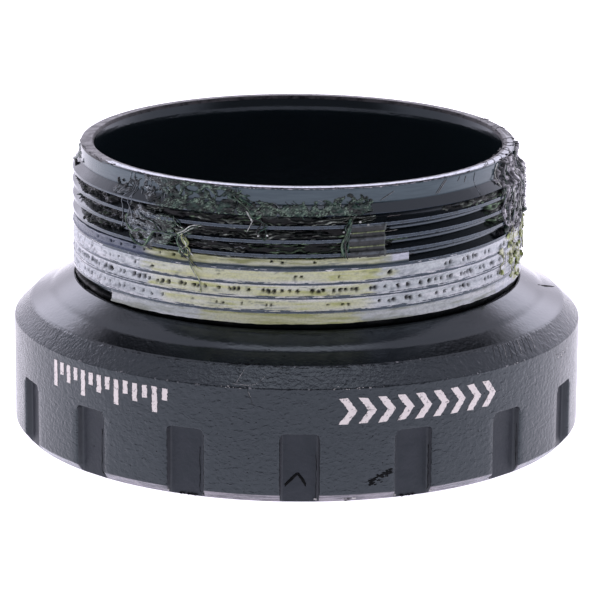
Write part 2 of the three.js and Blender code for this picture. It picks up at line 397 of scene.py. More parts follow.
def dull_and_shaded_rim_material():
    """The far side of the mouth: dark and matt, with brown dirt on it; its dark colour there is painted
    shade.
    """
    s = Shader("rim_dull_and_painted_shade", IOR=1.30)
    cloud = s.noise(1.2, 4.0, roughness=0.6)
    s.set("Base Color", s.mix(s.ramp(cloud, 0.35, 0.65), (0.012, 0.012, 0.015), (0.070, 0.067, 0.072)))
    s.set("Roughness", s.ramp(cloud, 0.3, 0.7, 0.25, 0.5))
    s.bump((s.noise(3.0, 3.0), 0.03))
    return s.material


def notch_material():
    """The floors of the notches: rougher and duller than the outside. Their walls are painted lighter than
    the floor: painted light, so that they keep the floor's tone where they would render darker.
    """
    s = Shader("notch_floor", IOR=1.36, Specular_Tint=(0.80, 0.95, 1.0, 1.0))
    cloud = s.noise(0.8, 4.0)
    grain = s.noise(3.6, 3.0, roughness=0.55)
    floor = s.mix(s.ramp(cloud, 0.3, 0.7), (0.024, 0.026, 0.032), (0.036, 0.038, 0.046))
    # The walls get painted light: a lighter colour where they would otherwise fall darker than the floor.
    wall = s.both(
        s.ramp(s.r, NOTCH_FLOOR + 0.04, NOTCH_FLOOR + 0.09),
        s.ramp(s.z, NOTCH_TOP - 0.15, NOTCH_TOP - 0.25)
    )
    s.set("Base Color", s.mix(wall, floor, (0.056, 0.059, 0.066)))
    s.set("Roughness", s.ramp(cloud, 0.3, 0.7, 0.34, 0.5))
    s.bump((s.noise(1.2, 3.0), 0.05), (grain, 0.034))
    return s.material


def black_matt_material():
    """Near black, with almost no shine: the painted shade in the undercut, and the black marks of dirt and
    painted shade.
    """
    s = Shader("black_matt", IOR=1.18)
    cloud = s.noise(2.0, 4.0)
    s.set("Base Color", s.mix(cloud, (0.0010, 0.0014, 0.0016), (0.0040, 0.0050, 0.0056)))
    s.set("Roughness", s.ramp(cloud, 0.3, 0.7, 0.25, 0.5))
    s.bump((cloud, 0.05))
    return s.material


def compound_material():
    """The dried compound in the thread: pale and chalky, tinted where old grease has run into it, and with
    painted sheen and shade in its tint.
    """
    s = Shader("compound_pale", IOR=1.45)
    tint = s.node("ShaderNodeVertexColor", layer_name="tint").outputs["Color"]
    mottle = s.noise(6.0, 4.0, stretch=(1, 1, 1.6), roughness=0.65)
    fine = s.noise(16.0, 2.0)
    lighter = s.mix(s.ramp(mottle, 0.36, 0.64), (0.82, 0.83, 0.85), (1.08, 1.08, 1.07))
    product = s.node("ShaderNodeMix", data_type="RGBA", blend_type="MULTIPLY")
    product.inputs[0].default_value = 1.0
    s._feed(product.inputs[6], tint)
    s._feed(product.inputs[7], lighter)
    s.set("Base Color", product.outputs[2])
    s.set("Roughness", s.ramp(mottle, 0.3, 0.7, 0.42, 0.22))
    s.bump((mottle, 0.02), (fine, 0.006))
    return s.material


def gel_material(name, low, high, index=1.5):
    """Old grease and thread compound, wet looking, coloured by the tint painted on its mesh; on several
    meshes that tint holds painted highlights.
    """
    s = Shader(name, IOR=index)
    tint = s.node("ShaderNodeVertexColor", layer_name="tint").outputs["Color"]
    cloud = s.noise(2.5, 4.0, roughness=0.6)
    s.set("Base Color", s.mix(s.ramp(cloud, 0.35, 0.75), tint, (0.006, 0.010, 0.009)))
    s.set("Roughness", s.ramp(cloud, 0.3, 0.7, low, high))
    s.bump((s.noise(5.0, 3.0, distortion=0.6), 0.03))
    return s.material


def print_material():
    s = Shader("printed_marks", IOR=1.45)
    wear = s.noise(4.5, 5.0, roughness=0.7)
    fade = s.noise(0.8, 2.0)
    ink = s.mix(fade, (0.88, 0.82, 0.78), (0.80, 0.75, 0.72))
    s.set("Base Color", s.mix(s.ramp(wear, 0.34, 0.44), (0.22, 0.21, 0.21), ink))
    s.set("Roughness", s.ramp(wear, 0.3, 0.6, 0.7, 0.45))
    s.bump((wear, 0.01))
    return s.material


def steel_material(name, colour, roughness):
    s = Shader(name, Metallic=1.0)
    rings = s.noise(1.0, 3.0, stretch=(30, 30, 1.0))
    s.set("Base Color", s.mix(rings, colour, tuple(c * 0.82 for c in colour)))
    s.set("Roughness", s.ramp(rings, 0.3, 0.7, roughness, roughness + 0.12))
    s.bump((rings, 0.002))
    return s.material


def plastic_material(name, colour, roughness, grain):
    s = Shader(name, IOR=1.5)
    texture = s.noise(9.0, 3.0)
    broad = s.noise(0.5, 3.0)
    s.set("Base Color", s.mix(broad, colour, tuple(c * 0.7 for c in colour)))
    s.set("Roughness", s.ramp(texture, 0.3, 0.7, roughness, roughness + 0.15))
    s.bump((texture, grain))
    return s.material


# ---------------------------------------------------------------- the cup
def notch_columns():
    """Angles round the cup, closer together at the notches' walls, and each one's angle from its notch."""
    half = [1.6, 2.7, 3.2, 3.5, 3.64, 3.80, 3.94, 4.10, 5.6, 7.4, 9.3]
    period = sorted([-a for a in half] + [0.0] + half) + [11.25]
    local = np.tile(period, NOTCHES)
    start = np.repeat(np.arange(NOTCHES) * 360 / NOTCHES, len(period))
    angles, local = start + local, np.abs(local)
    # the last column lies on the first, a whole turn on, so that the thread can climb by one pitch
    return np.append(angles, angles[0] + 360), np.append(local, local[0])


def thread_radius(offset):
    """Radius of the thread at a height from the middle of the nearest crest."""
    flank = PITCH / 2 - CREST_HALF - ROOT_HALF
    down = np.clip((np.abs(offset) - CREST_HALF) / flank, 0, 1)
    return CREST_R - (CREST_R - ROOT_R) * down


def cup_mesh(material):
    angles, local = notch_columns()
    ones = np.ones_like(angles)
    across = FLANGE_R * np.sin(np.radians(local))
    floor = NOTCH_FLOOR / np.cos(np.radians(np.minimum(local, 3.5)))
    wall = np.interp(
        local, [3.2, 3.5, 3.64, 3.72, 3.80, 3.94, 4.10], [0.02, 0.12, 0.30, 0.55, 0.80, 0.95, 1.0]
    )
    floor = floor + (FLANGE_R - floor) * wall
    bend = np.clip(across - (NOTCH_HALF - NOTCH_CORNER), 0, NOTCH_CORNER)
    top = NOTCH_TOP - (NOTCH_CORNER - np.sqrt(NOTCH_CORNER**2 - bend**2))

    rows = []  # (radius, height) for each column

    def ring(r, z):
        rows.append((r * ones, z * ones))

    def foot(r, z):
        rows.append((np.minimum(r, floor), z * ones))

    for r, z in rounded([(18.85, 0), (21.45, 0), (22.0, 0.65), (22.0, 4.3)], 0.05, False):
        foot(r, z)
    rows.insert(-1, (floor, 2.4 * ones))
    notch_top = ((1, -0.14), (0.95, -0.04), (0.55, 0.0), (0.12, 0.02), (0.03, 0.05), (0, 0.09), (0, 0.16))
    for share, above in notch_top:
        rows.append((FLANGE_R - (FLANGE_R - floor) * share, top + above))
    outside = [
        (22.0, 6.4), (22.0, 8.73), (20.65, 10.08), (19.4, 10.69),
    ]
    shoulder = [
        (19.26, 10.765), (19.12, 10.855), (18.98, 10.95), (18.84, 11.045), (18.66, 11.155),
        (18.4, 11.308), (18.0, 11.542), (17.38, 11.90), (17.34, 11.82), (17.1, 11.66),
        (16.7, 11.62), (16.7, 12.34),
    ]
    for r, z in rounded(outside, 0.06, False) + shoulder:
        ring(r, z)

    first = FIRST_CREST - (math.ceil((FIRST_CREST - THREAD_LOW) / PITCH) + 1) * PITCH
    crest_edge, root_edge = CREST_HALF / PITCH, 0.5 - ROOT_HALF / PITCH
    steps = [-root_edge, -0.35, -0.22, -crest_edge, 0, crest_edge, 0.22, 0.35, root_edge]
    crest = first
    while crest < THREAD_HIGH + PITCH:
        for step in steps:
            offset = step * PITCH
            radius = float(thread_radius(offset))
            height = crest + offset + PITCH * angles / 360
            clipped = np.clip(height, THREAD_LOW, THREAD_HIGH)
            ridge = np.minimum(1, (clipped - THREAD_LOW) / (PITCH / 3))
            groove = np.minimum(1, (THREAD_HIGH - clipped) / (PITCH / 2))
            raised = ROOT_R + (radius - ROOT_R) * ridge
            rows.append((CREST_R - (CREST_R - raised) * groove, clipped))
        crest += PITCH
    inside = [
        (CREST_R - 0.02, THREAD_HIGH + 0.02), (LAND_R, LAND_LOW), (LAND_R, CUP_HEIGHT - 0.09),
        (LAND_R - 0.24, CUP_HEIGHT), (RIM_DULL_R, CUP_HEIGHT), (15.88, CUP_HEIGHT), (15.77, 22.25),
        (15.66, 21.95), (15.58, 21.65), (15.53, 21.3), (15.5, 20.8), (15.5, 16.0), (15.5, 12.0),
        (15.5, 8.35), (18.55, 8.35), (18.55, 4.0), (18.55, 0.3), (18.85, 0.0),
    ]
    for r, z in rounded(inside, 0.07, False)[:-1]:
        ring(r, z)

    radius = np.stack([r for r, _ in rows])
    height = np.stack([z for _, z in rows])
    points = cylinder(angles[None, :] + 0 * radius, radius, height)
    return new_mesh(
        "cup_shell", points, grid_faces(len(rows), len(angles), True, False), material, 40
    )


def dull_patches(cup, notches, rim):
    """Gives the floors and walls of the notches, and the far side of the mouth, their own materials:
    painted light on the notch walls, painted shade on the far side.
    """
    cup.data.materials.append(notches)
    cup.data.materials.append(rim)
    faces = cup.data.polygons
    centres = np.empty(3 * len(faces), dtype=np.float32)
    faces.foreach_get("center", centres)
    x, y, z = (centres.astype(float) / MM).reshape(-1, 3).T
    radius = np.hypot(x, y)
    sunk = (z > 0.03) & (z < NOTCH_TOP) & (radius > NOTCH_FLOOR - 0.1)
    sunk = sunk & (radius < np.minimum(FLANGE_R - 0.08, 21.42 + 0.846 * z))
    # The far side of the mouth, and the mouth at the left, get the dull rim material: painted shade, with
    # brown dirt.
    far = y - 1.0 + 8.0 * (x < -4) + 2.2 * noise(np.arctan2(x, y) * 5.0, radius * 1.2, 24)
    far = far + np.random.default_rng(23).normal(0, 0.5, len(faces)) > 0
    dull = (z > 22.2) & (radius > 15.7) & (far | (radius < RIM_DULL_R - 0.02))
    faces.foreach_set("material_index", np.where(dull, 2, np.where(sunk, 1, 0)).astype(np.int32))


cup = cup_mesh(cup_material())
dull_patches(cup, notch_material(), dull_and_shaded_rim_material())
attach(cup, "cup")
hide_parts("cup_body")


# ---------------------------------------------------------------- compound in the thread
BAND_START, BAND_END = -54.5 - VIEW_TURN, 4 * 360 + 29 - VIEW_TURN
BAND_FIRST = FIRST_CREST - PITCH  # the crest below the band's first turn, at the front


def band_pits(rng):
    """Bubbles along the middle of the compound: (angle, height above the crest below, radius)."""
    pits = []
    angle = BAND_START + 12
    while angle < BAND_END - 22:
        turn = math.floor((angle + 180) / 360)
        front = angle - 360 * turn + VIEW_TURN
        big = {0: 0.0, 1: 0.75, 2: 1.0, 3: 0.5, 4: 0.2}[turn]
        if turn == 1 and -38 < front < 18:
            big = 0.25
        if turn == 3 and -35 < front < 22:
            big = 0.15
        if rng.random() < big:
            size = rng.uniform(0.11, 0.20) if turn == 2 or front > 18 else rng.uniform(0.06, 0.13)
            pits.append((angle, PITCH * rng.normal(0.5, 0.035), size))
            if rng.random() < 0.25:
                pits.append((angle + rng.uniform(-0.5, 0.5), PITCH * rng.uniform(0.36, 0.64), size * 0.6))
        angle += rng.choice([1.15, 1.5, 1.9, 2.6, 3.6])
    return pits


def band_colour(t, f, v, arc, above, open_edge):
    """Colour of the compound from the turn, the angle from the front, the share of the way up the
    groove, the millimetres round the barrel and up from the crest below, and where an edge is free."""
    pale, white = tone(200, 208, 208), tone(242, 242, 244)
    lilac, grey = tone(196, 200, 210), tone(142, 148, 156)
    green, olive = tone(206, 208, 158), tone(176, 182, 112)
    teal, navy = tone(44, 60, 68), tone(58, 72, 100)

    streak = noise(arc / 2.6, above / 0.16, 21)
    grains = noise(arc / 0.28, above / 0.2, 22, 2)
    patches = noise(arc / 1.6, above / 0.5, 23)
    colour = pale[None, None, :] + 0 * above[..., None]
    # Lilac toward the left and right: painted sheen, the tent's lavender light that the band's sides catch
    # at grazing angles; the lowest turn is a little lilac all round.
    colour = tinted(colour, lilac, smooth(np.abs(f), 30, 80) * 0.7 + 0.2 * (t == 0))
    outside = 1 - bump_between(f, -40, 22, 4)
    speckled = smooth(np.abs(f), 30, 75) * (f < 0) * (t > 0) + 0.35 * outside
    colour = tinted(colour, grey, smooth(streak, 0.1, 0.8) * 0.45)
    colour = tinted(colour, white, smooth(-streak, 0.1, 0.8) * 0.45)
    colour = tinted(colour, grey * 0.6, smooth(grains, 0.25, 0.8) * 0.8 * np.clip(speckled, 0, 1))
    left_edge = np.interp(t, [0, 1, 2, 3, 4], [-24, -36, -39, -40, -40])
    right_edge = np.interp(t, [0, 1, 2, 3, 4], [16, 18, 19, 23, 23.5])
    wobble = 3 * patches
    in_green = (
        smooth(f + wobble, left_edge - 2, left_edge + 3)
        * (1 - smooth(f + wobble, right_edge - 3, right_edge + 1))
    )
    in_green = in_green + (smooth(f, 62, 72) * (1 - smooth(f, 96, 104))) * smooth(patches, -0.1, 0.4)
    behind = smooth(np.abs(f), 108, 118) * smooth(noise(arc / 9, above * 0, 24), 0.1, 0.5) * 0.8
    colour = tinted(colour, green, (in_green + behind) * (0.72 + 0.35 * streak))
    colour = tinted(colour, olive, (in_green + behind) * smooth(patches + streak, 0.35, 1.1) * 0.75)
    near_line = (1 - smooth(v, 0.10, 0.24)) + smooth(v, 0.80, 0.92)
    colour = tinted(colour, white, near_line * (t > 0) * (t < 4) * (0.55 + 0.3 * patches))
    colour = tinted(colour, white, smooth(v, 0.80, 0.92) * (t == 3) * 0.9)
    blue_line = (
        bump_between(v, -0.01, 0.07, 0.02) * (t == 3)
        * smooth(noise(arc / 0.8, above * 0, 25), -0.1, 0.15)
    )
    colour = tinted(colour, navy * 1.9, blue_line)
    colour = tinted(
        colour, olive * 0.35, (t == 4) * (0.30 + 0.45 * smooth(streak + 0.6 * patches, -0.1, 0.7))
    )
    colour = tinted(
        colour, olive * 0.45, (t == 0) * (f < 60) * (f > -60) * (0.16 + 0.30 * smooth(streak, 0.0, 0.7))
    )
    fold = wrinkles(arc, above, 26, 0.16)
    colour = tinted(
        colour, teal * 1.5, fold * smooth(noise(arc / 1.5, above / 0.3, 28), 0.0, 0.5) * (t > 0) * 0.55
    )
    # Dark teal along the bottom of the top turn: painted shade on the lower flank under the crest.
    colour = tinted(colour, teal, (t == 4) * (1 - smooth(v + 0.08 * streak, 0.22, 0.38)))
    colour = tinted(colour, navy * 0.9, (t == 4) * (1 - smooth(f, -42, -39)) * 0.85)
    colour = tinted(colour, lilac, (t == 4) * smooth(f, 23, 24.5) * smooth(v, 0.3, 0.42))

    crease = (1 - smooth(v, 0.02, 0.10)) + smooth(v, 0.93, 0.99)
    crease = crease * ~open_edge * smooth(noise(arc / 0.5, above * 0, 29), -0.35, 0.1)
    return tinted(colour, navy * 1.5, crease * 0.8)


def compound_band(material):
    """The dried compound that fills five turns of the thread, one ribbon that climbs with the groove. Its
    edges are ragged, it opens out from a round end, and bubbles are pressed into it."""
    rng = np.random.default_rng(90)
    angles = np.arange(BAND_START, BAND_END, 0.36)
    behind_cup = np.abs((angles + VIEW_TURN + 180) % 360 - 180) > 105
    angles = angles[~behind_cup | (np.arange(len(angles)) % 2 == 0)]
    share = np.array([0.0, 0.03, 0.07, 0.13, 0.21, 0.30, 0.40, 0.50, 0.60, 0.70, 0.79, 0.87, 0.94, 1.0])
    turn = np.floor((angles + 180) / 360)
    front = angles - 360 * turn + VIEW_TURN
    lower = np.interp(turn, [0, 1, 2, 3, 4], [0.07, -0.02, -0.04, -0.02, 0.03])
    upper = np.interp(turn, [0, 1, 2, 3, 4], [-0.10, -0.07, -0.04, 0.07, -0.22])
    lower = lower + 0.035 * noise(angles / 4, angles * 0 + 3, 5)
    upper = upper + 0.03 * noise(angles / 3, angles * 0 + 9, 6) + PITCH
    near_start = np.clip((angles - BAND_START) / 1.4, 0, 1)
    open_share = np.sqrt(1 - (1 - near_start) ** 2)
    middle = (lower + upper) / 2
    lower = middle + (lower - middle) * open_share
    upper = middle + (upper - middle) * open_share

    v = share[:, None]
    above = lower[None, :] + (upper - lower)[None, :] * v
    a = angles[None, :] + 0 * above
    height = BAND_FIRST + PITCH * a / 360 + above
    arc = a * ARC
    t, f = turn[None, :] + 0 * above, front[None, :] + 0 * above

    crown = (
        17.345 + 0.075 * smooth(v, 0.02, 0.06) * (1 - smooth(v, 0.08, 0.2)) + 0.05 * smooth(v, 0.8, 0.95)
    )
    radius = (
        crown - 0.02 * wrinkles(arc, above, 26, 0.16) + 0.028 * noise(arc / 0.9, above / 0.25, 11)
        + 0.012 * noise(arc / 0.25, above / 0.15, 12)
    )
    radius = np.where(t == 0, radius - 0.02, radius)
    edge = (1 - smooth(v, 0.0, 0.035)) + smooth(v, 0.965, 1.0)
    open_edge = (t == 4) | ((t == 0) & (v < 0.5)) | ((t == 3) & (v > 0.5))
    radius = radius - np.where(open_edge, 0.16, 0.05) * edge
    at_ends = (1 - smooth(a, BAND_START, BAND_START + 1.0)) + smooth(a, BAND_END - 0.7, BAND_END)
    radius = radius - 0.35 * at_ends

    colour = band_colour(t, f, v, arc, above, open_edge)
    for angle, up, size in band_pits(rng):
        near = np.abs(angles - angle) * ARC < 2 * size
        da = (a[:, near] - angle) * ARC
        dz = above[:, near] - up
        distance = np.sqrt(da**2 + dz**2) / size
        inside = 1 - smooth(distance, 0.6, 1.05)
        radius[:, near] -= 0.24 * inside
        colour[:, near] = tinted(colour[:, near], np.array([0.004, 0.004, 0.005]), inside)

    points = cylinder(a, radius, height)
    return new_mesh(
        "compound_band", points, grid_faces(len(share), len(angles)), material, 60, colour
    )


band = compound_band(compound_material())
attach(band, "cup")


# ---------------------------------------------------------------- grease and strands
def barrel_radius(angle, z):
    """Radius of the bare metal of the barrel at an angle round the cup and a height."""
    offset = z - FIRST_CREST - PITCH * angle / 360
    offset = offset - PITCH * np.round(offset / PITCH)
    thread = thread_radius(offset)
    groove = np.clip((THREAD_HIGH - z) / (PITCH / 2), 0, 1)
    thread = CREST_R - (CREST_R - thread) * groove
    lead = LAND_R + (CREST_R - LAND_R) * np.clip((LAND_LOW - z) / (LAND_LOW - THREAD_HIGH), 0, 1)
    return np.where(z < THREAD_HIGH, thread, lead)


def network(u, v, seed):
    """Distance from the walls of a foam of irregular cells, one cell for each unit of u and v."""
    i0, j0 = np.floor(u).astype(int), np.floor(v).astype(int)
    table = np.random.default_rng(seed).uniform(0.1, 0.9, (64, 64, 2))
    nearest = np.full(np.shape(u), 9.0)
    second = nearest.copy()
    for di in (-1, 0, 1):
        for dj in (-1, 0, 1):
            i, j = i0 + di, j0 + dj
            point = table[i % 64, j % 64]
            d = np.hypot(i + point[..., 0] - u, j + point[..., 1] - v)
            second = np.minimum(second, np.maximum(nearest, d))
            nearest = np.minimum(nearest, d)
    return second - nearest


def patch_field(front, z, patches):
    """How much of a residue covers each place: 1 in the middle of a patch and 0 outside all of them.
    A patch is (angle, height, half its width in degrees, half its height in millimetres, strength)."""
    field = np.zeros(np.shape(front))
    for angle, height, wide, tall, strength in patches:
        away = ((front - angle) / wide) ** 2 + ((z - height) / tall) ** 2
        field = np.maximum(field, strength * np.clip(1.25 - away, 0, 1))
    return field


def residue_sheet(name, angles, heights, surface, material):
    """A skin of residue over the barrel. surface gives the radius and the colour at each point, and faces
    that lie wholly under the metal are dropped."""
    a, z = np.meshgrid(angles, heights)
    radius, colour = surface(a, z)
    metal = barrel_radius(a, z)
    shown = radius > metal + 0.004
    radius = np.maximum(radius, metal - 0.03)
    faces = grid_faces(len(heights), len(angles))
    faces = faces[shown.ravel()[faces].any(axis=1)]
    used = np.unique(faces)
    place = np.full(a.size, -1)
    place[used] = np.arange(len(used))
    points = cylinder(a, radius, z).reshape(-1, 3)[used]
    return new_mesh(name, points, place[faces], material, 70, colour.reshape(-1, 3)[used])


DARK_PATCHES = [  # wrinkled dark compound in the upper threads
    (-6, 18.8, 30, 2.3, 1.0),
    (-5, 20.5, 26, 0.62, 1.0),
    (-24, 20.4, 18, 0.8, 0.9),
    (-42, 18.8, 8, 1.8, 0.8),
    (54, 20.1, 16, 0.34, 0.8),
    (-66, 18.9, 22, 2.6, 0.56),
    (62, 19.2, 6, 2.0, 0.8),
    (128, 19.4, 22, 1.6, 0.9),
    (186, 18.9, 30, 1.7, 1.0),
    (246, 19.6, 18, 1.1, 0.8),
]


def dark_surface(a, z):
    """Dark compound in the grooves, with thin ridges that run round it, painted pale as highlights, and
    grit at the left with painted glints.
    """
    front, arc = a + VIEW_TURN, a * ARC
    cover = patch_field(front, z, DARK_PATCHES) + 0.28 * noise(arc / 1.7, z / 0.45, 41)
    ridge = wrinkles(arc, z, 42, 0.26)
    hollow = smooth(noise(arc / 1.4, z / 0.28, 47), 0.1, 0.5)
    grit = noise(arc / 0.17, z / 0.12, 43, 2)
    rough = smooth(front, -44, -50)
    fill = 16.90 + 0.34 * smooth(cover, 0.3, 0.7) - 0.20 * hollow + 0.13 * ridge + 0.08 * rough * grit
    slope = np.interp(z, [20.5, 21.2], [0.0, 0.62])
    radius = np.where(cover > 0.3, fill - slope, HIDDEN_R)
    base = tinted(tone(3, 4, 5), tone(30, 29, 31), smooth(noise(arc / 1.8, z / 0.4, 45), -0.1, 0.6))
    # The pale colour painted on the ridges is a painted highlight of the glossy wrinkles, with a green
    # tint.
    line = tinted(
        tone(176, 184, 174), tone(146, 176, 140), smooth(noise(arc / 3, z / 0.7, 46), -0.2, 0.2)
    )
    strong = 0.25 + 0.75 * smooth(noise(arc / 1.1, z / 0.35, 48), -0.3, 0.4)
    colour = tinted(base, line, ridge * strong * (1 - 0.8 * rough))
    # The pale specks on the grit at the left are painted glints.
    return radius, tinted(colour, tone(140, 142, 152), rough * smooth(grit, 0.55, 0.95) * 0.6)


FILM_PATCHES = [  # thin dried film on the land and over the threads, its edges thick enough to catch light
    (-28, 21.9, 13, 0.7, 1.0),
    (-16, 21.2, 9, 0.9, 1.0),
    (-39, 21.7, 8, 1.0, 0.8),
    (-8, 20.8, 6, 0.6, 0.9),
    (4.5, 21.0, 5.0, 0.65, 1.0),
    (14, 21.2, 5.5, 0.8, 1.0),
    (-4, 20.85, 17, 0.42, 1.0),
    (-24, 20.95, 20, 0.6, 1.0),
    (10, 20.85, 10, 0.36, 1.0),
    (-50, 21.5, 5, 0.9, 0.6),
    (-39, 18.6, 8.5, 1.7, 0.9),
    (-72, 21.7, 5, 0.5, 0.5),
    (120, 21.2, 14, 1.1, 0.9),
    (170, 21.5, 12, 0.9, 0.9),
    (215, 20.6, 14, 1.5, 1.0),
    (268, 21.4, 9, 0.9, 0.8),
]


def film_surface(a, z):
    """A web of thin ropes round open cells, each rope lined by wrinkles that catch the light; their pale
    colour is painted highlight.
    """
    front, arc = a + VIEW_TURN, a * ARC
    cover = patch_field(front, z, FILM_PATCHES) + 0.34 * noise(arc / 1.1, z / 0.6, 51)
    bent_u = arc / 0.95 + 0.5 * noise(arc / 0.9, z / 0.9, 52)
    bent_v = z / 0.75 + 0.5 * noise(arc / 0.9, z / 0.9, 53)
    cell = network(bent_u, bent_v, 54)
    reach = (
        0.34 + 0.34 * noise(arc / 0.8, z / 0.6, 62)
        + 0.34 * (smooth(z, 21.95, 22.25) + 1 - smooth(z, 20.9, 21.3))
    )
    rope = reach - cell
    lines = 1 - smooth(np.abs(cell / 0.13 - np.floor(cell / 0.13) - 0.35), 0.05, 0.22)
    lines = np.maximum(
        lines, 0.8 * wrinkles(arc, z, 63, 0.21) * smooth(noise(arc / 0.9, z / 0.5, 61), -0.2, 0.2)
    )
    skin = np.interp(z, [11.9, 12.5, 20.4, THREAD_HIGH, LAND_LOW], [16.7, 17.26, 17.26, 17.39, LAND_R])
    height = (
        skin + 0.01 + 0.10 * smooth(rope, 0.0, 0.15) + 0.06 * lines + 0.03 * noise(arc / 0.5, z / 0.4, 55)
    )
    radius = np.where((cover > 0.42) & (rope > 0), height, HIDDEN_R)
    green = smooth(front, -40, -32) * (1 - smooth(front, 22, 28)) + (np.abs(front) > 90) * 0.6
    base = tinted(tone(58, 68, 74), tone(46, 72, 62), green)
    murk = smooth(noise(arc / 0.6, z / 0.3, 58), -0.25, 0.3)
    base = tinted(base, tone(9, 15, 14), np.maximum(0.9 * murk, 0.9 * (1 - smooth(rope, 0.02, 0.09))))
    base = tinted(base, tone(16, 19, 20), (z < 20.5) * 0.8)
    # The pale edge colour on the wrinkle lines is painted highlight, patchy by noise.
    edge = tinted(tone(180, 190, 194), tone(150, 176, 154), green)
    lit = smooth(noise(arc / 0.5, z / 0.4, 59), -0.45, 0.2)
    return radius, tinted(base, edge, lines * lit * smooth(rope, 0.02, 0.08))


def panel_surface(a, z):
    """A smooth dark film stretched over three threads, right of the middle."""
    front, arc = a + VIEW_TURN, a * ARC
    turn_up = z - FIRST_CREST - PITCH * a / 360
    offset = np.abs(turn_up - PITCH * np.round(turn_up / PITCH)) / PITCH
    inside = bump_between(
        front, 12.4 + 0.5 * noise(z / 0.4, z, 71), 22.0 + 0.25 * noise(z / 0.5, z, 72), 0.1
    )
    inside = inside * bump_between(z, 17.25, 19.75, 0.05)
    height = 17.42 - 0.05 * smooth(offset, 0.12, 0.3) + 0.01 * noise(arc / 0.5, z / 0.2, 73)
    edge = np.exp(-(((front - 21.8) / 0.18) ** 2))
    height = height + 0.05 * edge + 0.03 * smooth(offset, 0.44, 0.48)
    base = tinted(tone(44, 47, 47), tone(84, 92, 98), 1 - smooth(offset, 0.05, 0.13))
    base = tinted(base, tone(150, 164, 112), smooth(offset, 0.445, 0.475) * 0.9)
    return np.where(inside > 0.5, height, HIDDEN_R), tinted(base, tone(120, 130, 126), edge)


def mass_surface(a, z):
    """Crumpled glossy residue at the right: upright folds with painted white highlights, and dark green
    hollows between them.
    """
    front, arc = a + VIEW_TURN, a * ARC
    cover = patch_field(
        front, z, [(70, 21.0, 9.5, 1.9, 1.0), (72, 18.6, 10, 2.3, 1.0), (86, 19.8, 10, 2.8, 1.0)]
    )
    cover = cover + 0.3 * noise(arc / 1.0, z / 1.4, 81)
    bent_u = arc / 0.85 + 0.8 * noise(arc / 1.0, z / 1.3, 82)
    bent_v = z / 1.7 + 0.5 * noise(arc / 0.8, z / 0.9, 83)
    wall = 1 - smooth(network(bent_u, bent_v, 84), 0.03, 0.26)
    fine = noise(arc / 0.25, z / 0.5, 85, 2)
    skin = np.interp(z, [11.9, 12.5, THREAD_HIGH, LAND_LOW], [16.7, 17.36, 17.36, LAND_R])
    height = skin + 0.04 + 0.12 * noise(arc / 0.9, z / 1.2, 86) + 0.22 * wall + 0.05 * fine
    dark = smooth(noise(arc / 0.9, z / 1.0, 87), -0.3, 0.0) * (1 - wall)
    height = height - 0.14 * dark
    base = tinted(tone(58, 60, 68), tone(8, 32, 24), dark)
    base = tinted(base, tone(14, 15, 18), smooth(fine, 0.05, 0.5) * 0.85)
    # The white on the folds is painted highlight.
    return (
        np.where(cover > 0.42, height, HIDDEN_R),
        tinted(base, tone(232, 230, 236), wall * smooth(fine, -0.3, 0.3))
    )


dark_gel = gel_material("compound_dark", 0.14, 0.32, 1.26)
film_gel = gel_material("compound_film", 0.10, 0.25, 1.42)
fold_gel = gel_material("compound_fold", 0.08, 0.22, 1.5)
sheets = [
    residue_sheet(
        "compound_dark", np.arange(-52, 33, 0.36), np.arange(16.8, 21.3, 0.045), dark_surface, dark_gel
    ),
    residue_sheet(
        "compound_dark_left", np.arange(-95, -52.001, 0.3), np.arange(16.8, 21.3, 0.06), dark_surface,
        dark_gel
    ),
    residue_sheet(
        "compound_dark_back", np.arange(33, 265, 0.8), np.arange(16.8, 21.3, 0.09), dark_surface, dark_gel
    ),
    residue_sheet(
        "compound_film", np.arange(-54, 33, 0.27), np.arange(16.6, 22.5, 0.052), film_surface, film_gel
    ),
    residue_sheet(
        "compound_film_back", np.arange(90, 285, 0.8), np.arange(16.6, 22.5, 0.12), film_surface, film_gel
    ),
    residue_sheet(
        "compound_panel", np.arange(11, 24, 0.3), np.arange(17.1, 19.9, 0.05), panel_surface, film_gel
    ),
    residue_sheet(
        "compound_folds", np.arange(56, 100, 0.36), np.arange(16.6, 22.42, 0.07), mass_surface, fold_gel
    ),
]


def surface_radius(z):
    """Radius of the outside of the cup at a height, over the crests of the thread."""
    heights = [0, 0.65, 8.73, 10.08, 11.7, 11.9, 12.5, THREAD_HIGH, LAND_LOW]
    radii = [21.45, 22.0, 22.0, 20.65, 17.4, 16.7, CREST_R, CREST_R, LAND_R]
    return float(np.interp(z, heights, radii))


